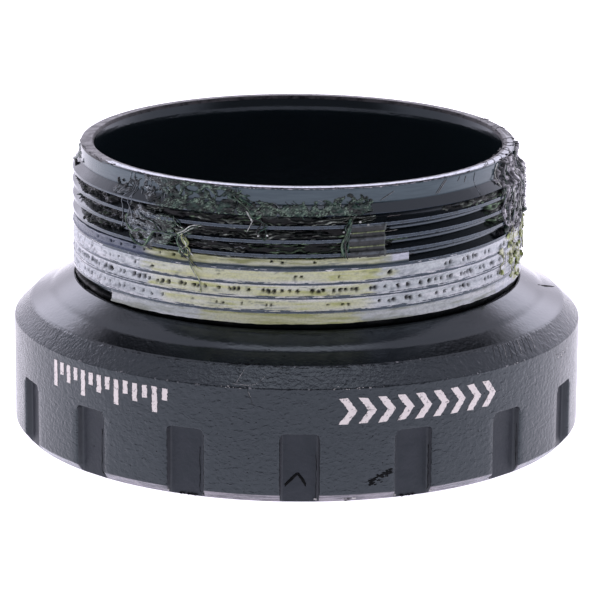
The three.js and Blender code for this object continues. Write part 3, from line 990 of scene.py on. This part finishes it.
class Strands:
    """Round strands and lumps that lie on the cup, gathered into one mesh."""

    def __init__(self, seed):
        self.rng = np.random.default_rng(seed)
        self.points, self.faces, self.colours, self.count = [], [], [], 0

    def _add(self, rings, colour):
        rows, columns = rings.shape[:2]
        self.points.append(rings.reshape(-1, 3))
        self.faces.append(grid_faces(rows, columns, False, True)[:, ::-1] + self.count)
        shade = np.array(colour) * self.rng.uniform(0.75, 1.25, (rows, 1, 1))
        self.colours.append(np.broadcast_to(shade, (rows, columns, 3)).reshape(-1, 3))
        self.count += rows * columns

    def strand(self, path, radius, colour, sides=5, steps=5, wander=0.1):
        """path holds (angle, height, lift off the cup). radius is one number or one for each point."""
        knots = np.array([cylinder(a - VIEW_TURN, surface_radius(z) + lift, z) for a, z, lift in path])
        sizes = np.broadcast_to(radius, len(knots)).astype(float)
        ghost = np.vstack([2 * knots[0] - knots[1], knots, 2 * knots[-1] - knots[-2]])
        line, thick = [], []
        for k in range(len(knots) - 1):
            p0, p1, p2, p3 = ghost[k : k + 4]
            for t in np.arange(steps) / steps:
                bend = (2 * p0 - 5 * p1 + 4 * p2 - p3) * t * t + (3 * p1 - p0 - 3 * p2 + p3) * t**3
                line.append(0.5 * (2 * p1 + (p2 - p0) * t + bend))
                thick.append(sizes[k] * (1 - t) + sizes[k + 1] * t)
        line.append(knots[-1])
        thick.append(sizes[-1])
        line, thick = np.array(line), np.array(thick)
        line = line + self.rng.normal(0, wander * thick.mean(), line.shape)
        thick = thick * self.rng.uniform(0.7, 1.3, len(thick))
        thick[0] *= 0.1
        thick[-1] *= 0.1
        along = np.gradient(line, axis=0)
        along /= np.linalg.norm(along, axis=1)[:, None]
        out = line * (1, 1, 0)
        side = np.cross(along, out)
        side /= np.linalg.norm(side, axis=1)[:, None]
        out = np.cross(side, along)
        turn = np.arange(sides) / sides * 2 * math.pi
        rings = line[:, None, :] + thick[:, None, None] * (
            np.cos(turn)[None, :, None] * side[:, None, :] + np.sin(turn)[None, :, None] * out[:, None, :]
        )
        self._add(rings, colour)

    def bundle(self, path, count, spread, radius, colours):
        """Several strands that wander about one path. spread is in degrees and millimetres."""
        for k in range(count):
            shifted = [
                (
                    a + self.rng.normal(0, spread[0]),
                    z + self.rng.normal(0, spread[1]),
                    lift + self.rng.uniform(-0.05, 0.08),
                )
                for a, z, lift in path
            ]
            size = radius * self.rng.uniform(0.5, 1.4, len(path))
            self.strand(shifted, size, colours[k % len(colours)])

    def lump(self, angle, z, lift, size, colour, rough=0.3):
        """size is half the width, half the height and half the depth in millimetres."""
        rows, columns = 9, 8
        polar = np.linspace(0.02, math.pi - 0.02, rows)[:, None]
        turn = (np.arange(columns) / columns * 2 * math.pi)[None, :]
        ball = np.stack(
            [np.sin(polar) * np.cos(turn), np.sin(polar) * np.sin(turn), np.cos(polar) + 0 * turn], -1
        )
        shift = self.rng.uniform(0, 50, 2)
        swell = noise(ball[..., 0] * 1.6 + shift[0] + ball[..., 2], ball[..., 1] * 1.6 + shift[1], 77, 2)
        ball = ball * (1 + rough * swell)[..., None]
        a = math.radians(angle - VIEW_TURN)
        out = np.array([math.sin(a), -math.cos(a), 0])
        side = np.array([math.cos(a), math.sin(a), 0])
        up = np.array([0, 0, 1])
        centre = out * (surface_radius(z) + lift) + up * z
        across, depth, rise = ball[..., 0:1], ball[..., 1:2], ball[..., 2:3]
        self._add(centre + across * side * size[0] + depth * out * size[2] + rise * up * size[1], colour)

    def build(self, name, material):
        return new_mesh(
            name, np.vstack(self.points), np.vstack(self.faces), material, 80, np.vstack(self.colours)
        )


# PEARL_AND_GLINT is near white: on the webs and glossy strands its strands and lumps are painted
# highlights, elsewhere it is pale compound.
BOTTLE, MOSS, PEARL_AND_GLINT = srgb(40, 74, 58), srgb(102, 130, 102), srgb(216, 220, 214)
LIME, ASH, NIGHT = srgb(196, 206, 142), srgb(140, 148, 154), srgb(18, 22, 22)


def forked_strand(s):
    """The forked strand at the left, and the thread that runs on from it; their white strands are painted
    highlights.
    """
    s.bundle(
        [(-32.0, 19.8, 0.03), (-30.6, 19.4, 0.08), (-28.5, 19.0, 0.12)], 4, (0.4, 0.06), 0.04,
        (BOTTLE, PEARL_AND_GLINT, MOSS)
    )
    s.bundle(
        [(-24.0, 19.5, 0.02), (-26, 19.25, 0.12), (-28.5, 18.85, 0.14), (-31.4, 18.4, 0.06)], 5,
        (0.4, 0.07), 0.04, (PEARL_AND_GLINT, BOTTLE, MOSS)
    )
    s.bundle(
        [(-30.8, 18.6, 0.06), (-29, 18.5, 0.12), (-26.6, 18.8, 0.12)], 4, (0.5, 0.12), 0.045,
        (MOSS, PEARL_AND_GLINT, BOTTLE)
    )
    s.bundle(
        [(-29.7, 18.6, 0.06), (-29.0, 18.0, 0.12), (-28.4, 17.4, 0.10), (-27.4, 16.9, 0.05)], 16,
        (0.95, 0.10), 0.05, (BOTTLE, MOSS, NIGHT, LIME, PEARL_AND_GLINT, BOTTLE)
    )
    s.lump(-28.9, 17.95, -0.05, (0.55, 0.45, 0.14), BOTTLE)
    s.bundle(
        [
            (-27.6, 17.0, 0.06), (-26.6, 16.5, 0.08), (-25.4, 15.9, 0.08), (-24.2, 15.2, 0.05),
            (-24, 14.3, 0.02)
        ],
        3, (0.3, 0.06), 0.032, (LIME, PEARL_AND_GLINT, MOSS)
    )
    s.strand([(-27.0, 16.8, 0.05), (-25.3, 16.3, 0.07), (-23.3, 16.0, 0.04)], 0.03, LIME)


def diagonal_and_upright(s):
    """The diagonal strand left of the middle, and the upright one right of it."""
    s.bundle(
        [
            (-15.8, 22.2, 0.01), (-15.2, 21.6, 0.04), (-12.6, 21.1, 0.08), (-11.4, 20.5, 0.08),
            (-9.6, 20.2, 0.08)
        ],
        6, (0.8, 0.10), 0.045, (BOTTLE, MOSS, NIGHT, BOTTLE)
    )
    s.bundle(
        [(-9.8, 20.3, 0.06), (-8.6, 19.8, 0.08), (-8.8, 19.2, 0.06), (-8.2, 18.6, 0.02)], 4, (0.6, 0.08),
        0.05, (BOTTLE, NIGHT)
    )
    # The two white strands over the diagonal are painted highlights.
    s.strand([(-12.5, 20.8, 0.22), (-11.2, 20.35, 0.24), (-10.7, 20.0, 0.16)], 0.07, PEARL_AND_GLINT)
    s.strand([(-10.5, 20.2, 0.16), (-11.2, 19.8, 0.14), (-12.2, 19.2, 0.05)], 0.035, PEARL_AND_GLINT)
    # the upright strand right of the middle
    s.bundle(
        [
            (13.0, 20.2, 0.02), (12.2, 19.7, 0.06), (12.0, 19.0, 0.10), (11.2, 18.2, 0.08),
            (11.6, 17.35, 0.03)
        ],
        8, (0.5, 0.06), 0.06, (BOTTLE, NIGHT, BOTTLE, MOSS)
    )
    # Small white lumps on the strands: painted glints.
    for angle, z in ((11.2, 19.3), (12.7, 19.2), (-9.3, 19.0), (-7.2, 19.05), (17.2, 19.75), (15.2, 20.0)):
        s.lump(angle, z, 0.14, (0.09, 0.07, 0.07), PEARL_AND_GLINT)


def left_webs(s):
    """Webs at the left, from the rim down over the thread."""
    for start, sway in ((-47.3, 0.8), (-46.3, -0.7), (-45.6, 0.4)):
        path = [
            (start + s.rng.normal(0, 0.45) - 0.12 * k * sway, 22.4 - k * 0.42, 0.03) for k in range(11)
        ]
        s.strand(path, s.rng.uniform(0.02, 0.05, 11), ASH)
    s.bundle(
        [(-46.5, 19.4, 0.02), (-47, 18.7, 0.04), (-44.6, 18.2, 0.06), (-42.2, 18.3, 0.08)], 2,
        (0.2, 0.04), 0.05, (BOTTLE, MOSS)
    )
    s.bundle(
        [
            (-46, 17.9, 0.02), (-43.5, 17.35, 0.06), (-40.5, 17.25, 0.06), (-38.3, 17.9, 0.08),
            (-37, 18.5, 0.08), (-31.6, 18.45, 0.08)
        ],
        2, (0.25, 0.05), 0.05, (MOSS, BOTTLE)
    )
    s.bundle(
        [(-44.5, 18.0, 0.04), (-42, 18.5, 0.08), (-39, 18.2, 0.06)], 2, (0.3, 0.05), 0.045, (ASH, MOSS)
    )
    s.bundle(
        [(-43.5, 19.7, 0.03), (-40.5, 19.3, 0.06), (-37, 19.1, 0.05), (-35.6, 18.5, 0.06)], 2,
        (0.4, 0.08), 0.045, (BOTTLE, ASH)
    )
    for angle, low in ((-42.5, 20.9), (-41, 21.2), (-38.5, 20.7), (-35, 20.9)):
        path = [
            (angle, 22.4, 0.01), (angle + 1, 21.8, 0.03), (angle - 0.5, 21.3, 0.03), (angle, low, 0.02)
        ]
        s.strand(path, 0.035, ASH)


def groove_threads(s, rng):
    """Short webs on the land, and wavy threads of compound along the grooves."""
    for k in range(16):
        angle, z = rng.uniform(-44, 18), rng.uniform(20.6, 21.6)
        path = [
            (angle + rng.uniform(0.4, 1.2) * j, z - 0.12 * j + rng.normal(0, 0.05), 0.02)
            for j in range(4)
        ]
        s.strand(path, rng.uniform(0.015, 0.035, 4), (NIGHT, BOTTLE, NIGHT, ASH)[k % 4])
    # wavy threads of compound along the grooves
    for k in range(150):
        angle, length = rng.uniform(-50, 24), rng.uniform(2.0, 9.0)
        start = rng.integers(0, 9) + 0.5 + rng.uniform(-0.3, 0.3)
        path = []
        for j in range(6):
            at = angle + length * j / 5
            z = FIRST_CREST + PITCH * (start + (at - VIEW_TURN) / 360) + rng.normal(0, 0.03)
            path.append((at, z, rng.uniform(-0.30, -0.16)))
        if 17.0 < path[0][1] < 20.5:
            shade = (ASH, srgb(110, 104, 104), MOSS, NIGHT, srgb(170, 170, 162))[k % 5]
            s.strand(path, rng.uniform(0.012, 0.034, 6), shade)


def land_lines(s):
    """Lines of compound along the foot of the land."""
    path = [
        (-12, 20.9, 0.02), (-9.5, 20.72, 0.03), (-6.2, 20.7, 0.03), (-5.4, 20.9, 0.03), (-4, 20.75, 0.03),
        (-1, 20.72, 0.03), (1, 20.88, 0.02)
    ]
    s.strand(path, 0.03, PEARL_AND_GLINT)
    s.strand([(8.6, 20.85, 0.02), (10.2, 20.95, 0.03), (11, 21.3, 0.02)], 0.03, PEARL_AND_GLINT)
    ring = [(-23 + 2.6 * math.cos(t * 0.628), 21.75 + 0.4 * math.sin(t * 0.628), 0.03) for t in range(11)]
    s.strand(ring, 0.045, srgb(70, 92, 84))
    # a fine hair on the land
    s.strand([(52, 22.3, 0.01), (51.6, 21.7, 0.03), (52.2, 21.2, 0.03), (51.9, 20.6, 0.02)], 0.028, ASH)


def folds_at_right(s, rng):
    """Ropes and lumps in the crumpled mass at the right."""
    # The near-white ropes among the folds are painted highlights.
    for k in range(20):
        angle = rng.uniform(61, 84)
        top, low = rng.uniform(20.2, 22.4), rng.uniform(16.7, 19.0)
        path = [
            (angle + 1.6 * math.sin(j * 1.3 + k), top + (low - top) * j / 5, rng.uniform(0.02, 0.2))
            for j in range(6)
        ]
        s.strand(path, rng.uniform(0.025, 0.075, 6), (PEARL_AND_GLINT, srgb(170, 170, 180), BOTTLE, PEARL_AND_GLINT)[k % 4])
    for k in range(9):
        size = (rng.uniform(0.15, 0.35), rng.uniform(0.2, 0.5), rng.uniform(0.1, 0.2))
        s.lump(rng.uniform(62, 92), rng.uniform(17.2, 22.0), 0.08, size, srgb(20, 44, 34), 0.45)
    s.lump(80, 17.75, 0.22, (0.75, 0.22, 0.28), srgb(24, 62, 44), 0.3)
    s.lump(-83, 20.8, 0.0, (0.35, 0.36, 0.16), NIGHT)


def strands_behind(s, rng):
    """Strands round the back."""
    for k in range(12):
        angle = rng.uniform(110, 250)
        top = rng.uniform(19.5, 22.3)
        low = top - rng.uniform(1.2, 3.5)
        path = [
            (angle + 2.0 * math.sin(j * 1.9 + k), top + (low - top) * j / 4, rng.uniform(0.02, 0.12))
            for j in range(5)
        ]
        s.strand(path, rng.uniform(0.05, 0.12, 5), (BOTTLE, MOSS, ASH)[k % 3])


def dark_strands(material):
    """Strings and lumps of old grease and compound over the thread and the land."""
    s = Strands(7)
    forked_strand(s)
    diagonal_and_upright(s)
    left_webs(s)
    groove_threads(s, np.random.default_rng(44))
    land_lines(s)
    rng = np.random.default_rng(31)
    folds_at_right(s, rng)
    strands_behind(s, rng)
    return s.build("compound_strands", material)


def pale_strands(material):
    """Crumbs of the pale compound that stand off the band at the right."""
    s = Strands(8)
    rng = np.random.default_rng(17)
    lime, cream, pearl = srgb(170, 184, 108), srgb(212, 216, 176), srgb(228, 230, 232)
    for k in range(44):
        size = (rng.uniform(0.15, 0.45), rng.uniform(0.1, 0.28), rng.uniform(0.08, 0.2))
        s.lump(
            rng.uniform(62, 98), rng.uniform(12.9, 17.0), rng.uniform(-0.05, 0.08), size,
            (lime, lime, cream)[k % 3], 0.5
        )
    for k in range(18):
        angle, z = rng.uniform(62, 96), rng.uniform(13.2, 16.2)
        path = [
            (angle + 0.8 * math.sin(j + k), z + 0.3 * j, rng.uniform(0.02, 0.16)) for j in range(5)
        ]
        s.strand(path, rng.uniform(0.03, 0.07, 5), (pearl, cream)[k % 2])
    return s.build("compound_crumbs", material)


def neck_painted_shade(material):
    """A black sheet that fills the undercut below the thread: painted shade where the compound above shades
    the neck.
    """
    angles = np.arange(0, 360, 1.2)
    rows = [
        (16.6, 11.78), (16.98, 11.8), (17.06, 11.9), (17.12, 12.05), (17.2, 12.2), (17.24, 12.36),
        (17.1, 12.46), (16.6, 12.5)
    ]
    radius = np.array([r for r, _ in rows])[:, None] + 0 * angles[None, :]
    height = np.array([z for _, z in rows])[:, None] + 0 * angles[None, :]
    wave = noise(angles[None, :] / 3.6, height / 0.3, 91)
    inner = (np.array([r for r, _ in rows]) > 16.7)[:, None]
    radius = radius + 0.05 * wave * inner
    return new_mesh(
        "neck_painted_shade",
        cylinder(angles[None, :] + 0 * radius, radius, height),
        grid_faces(len(rows), len(angles), True, True),
        material,
        60,
    )


strands = dark_strands(gel_material("compound_strand", 0.08, 0.2))
crumbs = pale_strands(gel_material("compound_crumb", 0.2, 0.4))
# The black sheet in the undercut is painted shade.
black_matt = neck_painted_shade(black_matt_material())
for piece in (*sheets, strands, crumbs, black_matt):
    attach(piece, "cup")


# ---------------------------------------------------------------- scuffs and scratches
def scuffs(material):
    """Scores, nicks and burrs in the metal, dark or bare."""
    s = Strands(9)
    bare, dark = srgb(190, 188, 186), srgb(10, 12, 14)
    rng = s.rng
    # dull scores on the land, each with a thin bright burr
    scores = (
        (38, 21.25, 41.2, 22.3), (37.3, 21.25, 40.6, 22.3), (21, 21.3, 25, 21.95),
        (45, 21.9, 46, 22.3), (47.5, 21.7, 48.2, 22.2),
    )
    for a0, z0, a1, z1 in scores:
        s.strand(
            [(a0, z0, 0.005), ((a0 + a1) / 2, (z0 + z1) / 2 + 0.03, 0.005), (a1, z1, 0.005)], 0.022, dark
        )
        s.strand(
            [(a0 + 0.12, z0, 0.0), ((a0 + a1) / 2 + 0.12, (z0 + z1) / 2, 0.0), (a1 + 0.12, z1, 0.0)],
            0.014, bare
        )
    # bright nicks on the lip and the shoulder
    for k in range(11):
        angle = rng.uniform(-30, 34)
        s.lump(angle, 22.36, 0.0, (rng.uniform(0.04, 0.13), 0.035, 0.02), bare)
    for k in range(22):
        angle = rng.choice([-13, -11, 7, 11, 14, 49]) + rng.normal(0, 1.6)
        s.lump(angle, 8.73 + rng.normal(0, 0.05), -0.01, (rng.uniform(0.03, 0.1), 0.03, 0.03), bare)
    # scratches over the shoulder at the left of the middle
    s.strand([(-11.5, 9.0, 0), (-11, 9.4, 0), (-10.2, 9.9, 0)], 0.018, bare)
    s.strand([(-9.3, 8.7, 0), (-8.9, 8.2, 0), (-8.5, 7.9, 0), (-8.3, 7.4, 0)], 0.02, dark)
    s.strand([(-9.1, 8.5, 0), (-8.5, 8.0, 0)], 0.014, bare)
    s.strand([(-12.5, 8.95, 0), (-9, 8.9, 0), (-7.2, 9.1, 0), (-6, 9.5, 0)], 0.014, bare)
    for k in range(9):
        angle = 43 + 1.6 * k
        s.strand(
            [(angle, 8.9 + rng.uniform(0, 0.3), 0), (angle + 1.2, 9.7, 0), (angle + 1.4, 10.0, 0)], 0.02,
            (dark, dark, bare)[k % 3]
        )
    for k in range(10):
        s.lump(
            65.5 + rng.normal(0, 1.8), 7.75 + rng.normal(0, 0.18), 0, (0.1, 0.05, 0.02),
            (dark, bare)[k % 2]
        )
    # burrs at the foot
    for angle in (10.3, 9.4, 11.4, 3.9, -18.2, -25.6, 19.6, 27.4, 42.0):
        s.lump(
            angle, 0.28, -0.02, (rng.uniform(0.08, 0.2), 0.08, 0.05),
            (srgb(60, 58, 60), bare)[int(angle) % 2], 0.5
        )
    return s.build("scuffs", material)


# BLACK is for dirt, and for the painted shade lines down the notch walls.
BLACK = srgb(6, 8, 8)


def flange_dirt_and_shade(s):
    """The score in the front notch, a smear beside the next one, dirt along the foot and in the notches
    there, and black lines down the notch walls that are painted shade.
    """
    for shift in (-0.07, 0.0, 0.07):
        s.strand(
            [(-2.3, 1.15 + shift, -0.6), (-0.8, 1.75 + shift, -0.6), (0.4, 2.2 + shift, -0.6)], 0.075,
            BLACK
        )
        s.strand(
            [(0.4, 2.2 + shift, -0.6), (1.3, 1.75 + shift, -0.6), (2.1, 1.2 + shift, -0.6)], 0.075, BLACK
        )
    for k in range(60):
        t = s.rng.uniform(-1, 1)
        size = (s.rng.uniform(0.04, 0.18), s.rng.uniform(0.025, 0.08), 0.015)
        s.lump(16.4 + 2.2 * t, 1.85 + 0.42 * t + s.rng.normal(0, 0.13), 0.0, size, srgb(10, 18, 15), 0.5)
    # Black lines down both walls of five notches: painted shade along the notch edges.
    for middle in (-45, -22.5, 0, 22.5, 45):
        for side, thick in ((-3.9, 0.055), (3.9, 0.04)):
            path = [(middle + side + s.rng.normal(0, 0.05), z, -0.12) for z in np.arange(0.35, 4.0, 0.33)]
            s.strand(path, s.rng.uniform(0.3, 1.0, len(path)) * thick, BLACK)
    for angle in (-20.0, -20.8, -21.5, -22.4, -23.0, 21.4, 22.3, 22.9, 23.8, 9.8, 10.3):
        s.lump(angle, 0.10, -0.02, (s.rng.uniform(0.08, 0.2), 0.07, 0.04), BLACK, 0.5)
    for k in range(40):
        angle, z = s.rng.uniform(-70, 75), s.rng.uniform(2.0, 8.4)
        s.lump(angle, z, -0.01, (s.rng.uniform(0.03, 0.08), s.rng.uniform(0.02, 0.05), 0.02), BLACK, 0.4)


def mouth_dirt(s):
    """Dirt on the mouth, most of it at the right and behind."""
    for k in range(46):
        lift = s.rng.uniform(-1.05, 0.0)
        size = (s.rng.uniform(0.06, 0.3), 0.025, s.rng.uniform(0.03, 0.14))
        s.lump(s.rng.uniform(58, 128), 22.425, lift, size, BLACK, 0.6)
    for k in range(64):
        size = (s.rng.uniform(0.05, 0.28), 0.02, s.rng.uniform(0.02, 0.09))
        s.lump(-80 + 138 * s.rng.uniform() ** 1.6, 22.43, s.rng.uniform(-0.6, 0.0), size, BLACK, 0.6)
    for k in range(14):
        a = s.rng.uniform(56, 118)
        s.strand(
            [
                (a, 22.44, -1.0), (a + s.rng.uniform(-4, 4), 22.45, -0.5),
                (a + s.rng.uniform(-5, 5), 22.44, 0.0)
            ],
            0.03, BLACK
        )


def shoulder_dirt(s):
    """Dirt on the sloping shoulder, at its inner edge and round its outer edge."""
    for k in range(9):
        a = -29 + 2.1 * k
        s.strand(
            [(a, 11.52, 0.02), (a + 1.0, 11.62 - 0.05 * (k % 2), 0.02), (a + 2.6, 11.5, 0.02)], 0.04,
            BLACK
        )
    for k in range(12):
        s.lump(
            s.rng.choice([-12, -9, -4]) + s.rng.normal(0, 1.4), 10.12 + s.rng.normal(0, 0.06), -0.01,
            (0.14, 0.05, 0.03), BLACK, 0.5
        )
    s.strand(
        [(80, 11.45, 0.02), (84, 11.25, 0.02), (88, 11.0, 0.02), (92, 10.6, 0.02), (95, 10.25, 0.02)],
        (0.03, 0.06, 0.07, 0.05, 0.02), BLACK
    )
    for k in range(6):
        angle = s.rng.uniform(-70, 78)
        s.lump(angle, s.rng.uniform(10.3, 11.4), 0.0, (0.12, 0.05, 0.02), BLACK, 0.5)


def black_marks(material):
    """Dirt with no shine, and black lines down the notch walls that are painted shade."""
    s = Strands(10)
    flange_dirt_and_shade(s)
    mouth_dirt(s)
    shoulder_dirt(s)
    return s.build("black_marks", material)


marks = scuffs(gel_material("scuff_marks", 0.25, 0.45))
black = black_marks(black_matt_material())
for piece, slot in ((marks, "cup_anodised"), (black, "thread_residue")):
    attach(piece, "cup")


# ---------------------------------------------------------------- printed marks
def plate(cells, material, name):
    """Thin raised ink on the flange, its edges a little ragged. Each cell is four corners of (distance
    round the flange, height), and the ink is laid in short strips from the first side to the third."""
    rng = np.random.default_rng(61)
    points, faces = [], []
    for cell in cells:
        first, second, third, fourth = (np.array(corner, dtype=float) for corner in cell)
        strips = max(2, int(np.linalg.norm(fourth - first) / 0.13))
        base = len(points)
        for k in range(strips + 1):
            t = k / strips
            left = first + (fourth - first) * t + rng.normal(0, 0.022, 2)
            right = second + (third - second) * t + rng.normal(0, 0.022, 2)
            for radius in (FLANGE_R - 0.03, FLANGE_R + 0.03):
                for s, z in (left, right):
                    points.append(cylinder(math.degrees(s / FLANGE_R) - VIEW_TURN, radius, z))
        for k in range(strips):
            a, b = base + 4 * k, base + 4 * k + 4
            faces += [
                [a + 2, a + 3, b + 3, b + 2],
                [a + 1, a, b, b + 1],
                [a, a + 2, b + 2, b],
                [a + 3, a + 1, b + 1, b + 3],
            ]
        end = base + 4 * strips
        faces += [[base, base + 1, base + 3, base + 2], [end + 1, end, end + 2, end + 3]]
    return new_mesh(name, points, faces, material, 30)


def slab(s0, s1, z0, z1):
    """The four corners of an upright oblong on the flange."""
    return [(s0, z0), (s1, z0), (s1, z1), (s0, z1)]


def scale_marks(material):
    """A plain graduated scale at the left of the front."""
    start, pitch, stroke, top = math.radians(-55.5) * FLANGE_R, 0.86, 0.42, 8.12
    cells = []
    for k in range(14):
        s = start + k * pitch
        tall = 1.95 if k % 4 == 0 else (1.35 if k % 2 == 0 else 0.95)
        cells.append(slab(s, s + stroke, top - tall, top))
    return plate(cells, material, "print_scale")


def arrow_marks(material):
    """A row of chevrons that point the way the cup is tightened, at the right of the front."""
    start, pitch = math.radians(8.2) * FLANGE_R, 1.46
    middle, half, stroke, reach = 7.03, 0.97, 0.62, 0.72
    cells = []
    for k in range(9):
        s = start + k * pitch
        tip, inner_tip = (s + reach + stroke, middle), (s + reach, middle)
        cells.append([(s, middle - half), (s + stroke, middle - half), tip, inner_tip])
        cells.append([inner_tip, tip, (s + stroke, middle + half), (s, middle + half)])
    return plate(cells, material, "print_chevrons")


ink = print_material()
for piece in (scale_marks(ink), arrow_marks(ink)):
    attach(piece, "cup")


# ---------------------------------------------------------------- bearing and dust cover
def arc(centre, radius, start, end, steps=10):
    """Points along an arc, its start and end in degrees."""
    turns = [math.radians(start + (end - start) * k / steps) for k in range(steps + 1)]
    return [(centre[0] + radius * math.cos(turn), centre[1] + radius * math.sin(turn)) for turn in turns]


def ring_profiles():
    """Profiles of the two races, the two seals and the dust cover."""
    middle, land_from_circle = BEARING_MIDDLE, 1.5
    reach = math.degrees(math.acos(land_from_circle / GROOVE_R))
    outer = (
        [(18.5, 1.3), (18.5, 8.3), (17.55, 8.3), (17.55, 7.6), (17.0, 7.6)]
        + arc((BALL_CIRCLE_R, middle), GROOVE_R, reach, -reach)
        + [(17.0, 2.0), (17.55, 2.0), (17.55, 1.3)]
    )
    inner = (
        [(12.5, 8.3), (12.5, 1.3), (14.0, 1.3)]
        + arc((BALL_CIRCLE_R, middle), GROOVE_R, 180 + reach, 180 - reach)
        + [(14.0, 8.3)]
    )
    lower_seal = [
        (14.15, 1.62), (14.35, 1.45), (14.9, 1.45), (15.0, 1.60), (15.6, 1.60), (15.7, 1.45),
        (17.5, 1.45), (17.5, 1.95), (14.75, 1.95), (14.15, 1.75),
    ]
    upper_seal = [(r, 2 * middle - z) for r, z in lower_seal][::-1]
    cover = [
        (12.25, 0.3), (13.6, 0.3), (13.8, 0.45), (15.4, 0.45), (15.6, 0.3), (16.9, 0.3),
        (17.0, 0.38), (17.2, 0.38), (17.3, 0.3), (17.6, 0.3), (17.8, 0.5), (17.8, 1.0), (13.7, 1.0),
        (13.7, 1.25), (12.4, 1.25), (12.4, 8.7), (12.12, 8.7), (12.0, 8.55), (12.0, 0.55),
    ]
    return outer, inner, lower_seal, upper_seal, cover


def bearing_rings():
    steel = steel_material("race_steel", (0.56, 0.57, 0.60), 0.18)
    rubber = plastic_material("seal_rubber", (0.012, 0.012, 0.014), 0.45, 0.01)
    plastic = plastic_material("cover_plastic", (0.010, 0.011, 0.013), 0.32, 0.008)
    outer, inner, lower_seal, upper_seal, cover = ring_profiles()
    made = [
        ("race_outer", outer, steel, "cup", "bearing_outer_race", "race_steel"),
        ("race_inner", inner, steel, "spindle_side", "bearing_inner_race", "race_steel"),
        ("seal_low", lower_seal, rubber, "cup", "bearing_seal_outboard", "seal_rubber"),
        ("seal_high", upper_seal, rubber, "cup", "bearing_seal_inboard", "seal_rubber"),
        ("cover_ring", cover, plastic, "spindle_side", "dust_cover", "cover_plastic"),
    ]
    for name, profile, material, body, node, slot in made:
        piece = turned(name, rounded(profile, 0.08), material)
        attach(piece, body)
        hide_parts(node)


def bearing_balls():
    """A finer ball over each of the CAD's."""
    steel = steel_material("ball_steel", (0.72, 0.73, 0.76), 0.06)
    rows, columns = 17, 28
    polar = np.linspace(0, math.pi, rows)[:, None]
    turn = (np.arange(columns) / columns * 2 * math.pi)[None, :]
    ball = np.stack(
        [np.sin(polar) * np.cos(turn), np.sin(polar) * np.sin(turn), -np.cos(polar) + 0 * turn], -1
    )
    faces = grid_faces(rows, columns, False, True)
    for number in range(1, BALLS + 1):
        node = f"ball_{number:02d}"
        low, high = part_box(node)
        centre = (np.array(low) + np.array(high)) / 2 / MM
        piece = new_mesh(f"bearing_{node}", centre + BALL_R * ball, faces, steel, 60)
        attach(piece, "ball_set")
        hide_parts(node)


def dress_cage():
    """The CAD's cage is kept, in its own nylon."""
    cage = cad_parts["bearing_cage"]
    cage.data.materials.clear()
    cage.data.materials.append(plastic_material("cage_nylon", (0.55, 0.50, 0.38), 0.4, 0.006))


bearing_rings()
bearing_balls()
dress_cage()


# ---------------------------------------------------------------- stage
def studio_world():
    """A white tent: a bright low backdrop behind with a dark gap over it, softer sides and top, and a dark
    opening in front."""
    world = bpy.data.worlds.new("studio")
    scene.world = world
    world.use_nodes = True
    n = Nodes(world.node_tree)
    way = n.node("ShaderNodeTexCoord").outputs["Generated"]
    split = n.node("ShaderNodeSeparateXYZ", {0: way})
    up = split.outputs[2]
    level = n.node(
        "ShaderNodeVectorMath", {0: n.vector("MULTIPLY", way, (1, 1, 0))}, operation="NORMALIZE"
    )
    ahead = n.node("ShaderNodeSeparateXYZ", {0: level.outputs[0]}).outputs[1]

    def band(value, low0, low1, high0, high1):
        return n.both(n.ramp(value, low0, low1), n.ramp(value, high0, high1, 1.0, 0.0))

    low_back = n.both(n.ramp(ahead, 0.1, 0.75), band(up, -0.2, -0.1, 0.50, 0.60))
    spot = n.both(n.ramp(ahead, 0.74, 0.90), band(up, 0.14, 0.36, 0.50, 0.60))
    gap = n.both(n.ramp(ahead, 0.77, 0.85), band(up, 0.60, 0.70, 0.963, 0.984))
    opening = n.both(n.ramp(ahead, -0.3, -0.75, 0.0, 1.0), band(up, 0.05, 0.2, 0.72, 0.90))
    light = n.math("ADD", n.both(low_back, 0.55), n.both(spot, 1.35))
    light = n.math("ADD", light, 0.72)
    light = n.math("ADD", light, n.both(n.ramp(up, 0.93, 0.97), 0.30))
    light = n.both(light, n.math("SUBTRACT", 1.0, n.both(gap, 0.95)))
    light = n.both(light, n.math("SUBTRACT", 1.0, n.both(opening, 0.85)))
    background = world.node_tree.nodes["Background"]
    n._feed(background.inputs["Strength"], light)
    background.inputs["Color"].default_value = (1.03, 0.985, 1.15, 1)


def pale_floor():
    """A back-lit white table, brighter towards the backdrop."""
    mesh = bpy.data.meshes.new("floor")
    size = 3.0
    mesh.from_pydata(
        [(-size, -size, 0), (size, -size, 0), (size, size, 0), (-size, size, 0)], [], [(0, 1, 2, 3)]
    )
    paper = Shader("floor_paper", IOR=1.3, Roughness=0.9)
    tone = paper.noise(0.02, 2.0)
    paper.set("Base Color", paper.mix(tone, (0.38, 0.38, 0.38), (0.42, 0.42, 0.42)))
    paper.set("Emission Color", (1.03, 0.985, 1.12))
    depth = paper.node("ShaderNodeSeparateXYZ", {0: paper.place}).outputs[1]
    paper.set("Emission Strength", paper.ramp(depth, -45.0, 0.0, 0.85, 1.35))
    mesh.materials.append(paper.material)
    floor = bpy.data.objects.new("floor", mesh)
    floor.location.z = -0.00002
    scene.collection.objects.link(floor)


def top_light():
    lamp = bpy.data.lights.new("overhead", "AREA")
    lamp.shape, lamp.size, lamp.size_y, lamp.energy = "RECTANGLE", 1.2, 0.8, 2.0
    overhead = bpy.data.objects.new("overhead", lamp)
    overhead.location = (0, -0.15, 1.8)
    aim = Vector((0, 0, 0)) - overhead.location
    overhead.rotation_euler = aim.to_track_quat("-Z", "Y").to_euler()
    scene.collection.objects.link(overhead)


studio_world()
pale_floor()
top_light()
scene.view_settings.view_transform = "Standard"
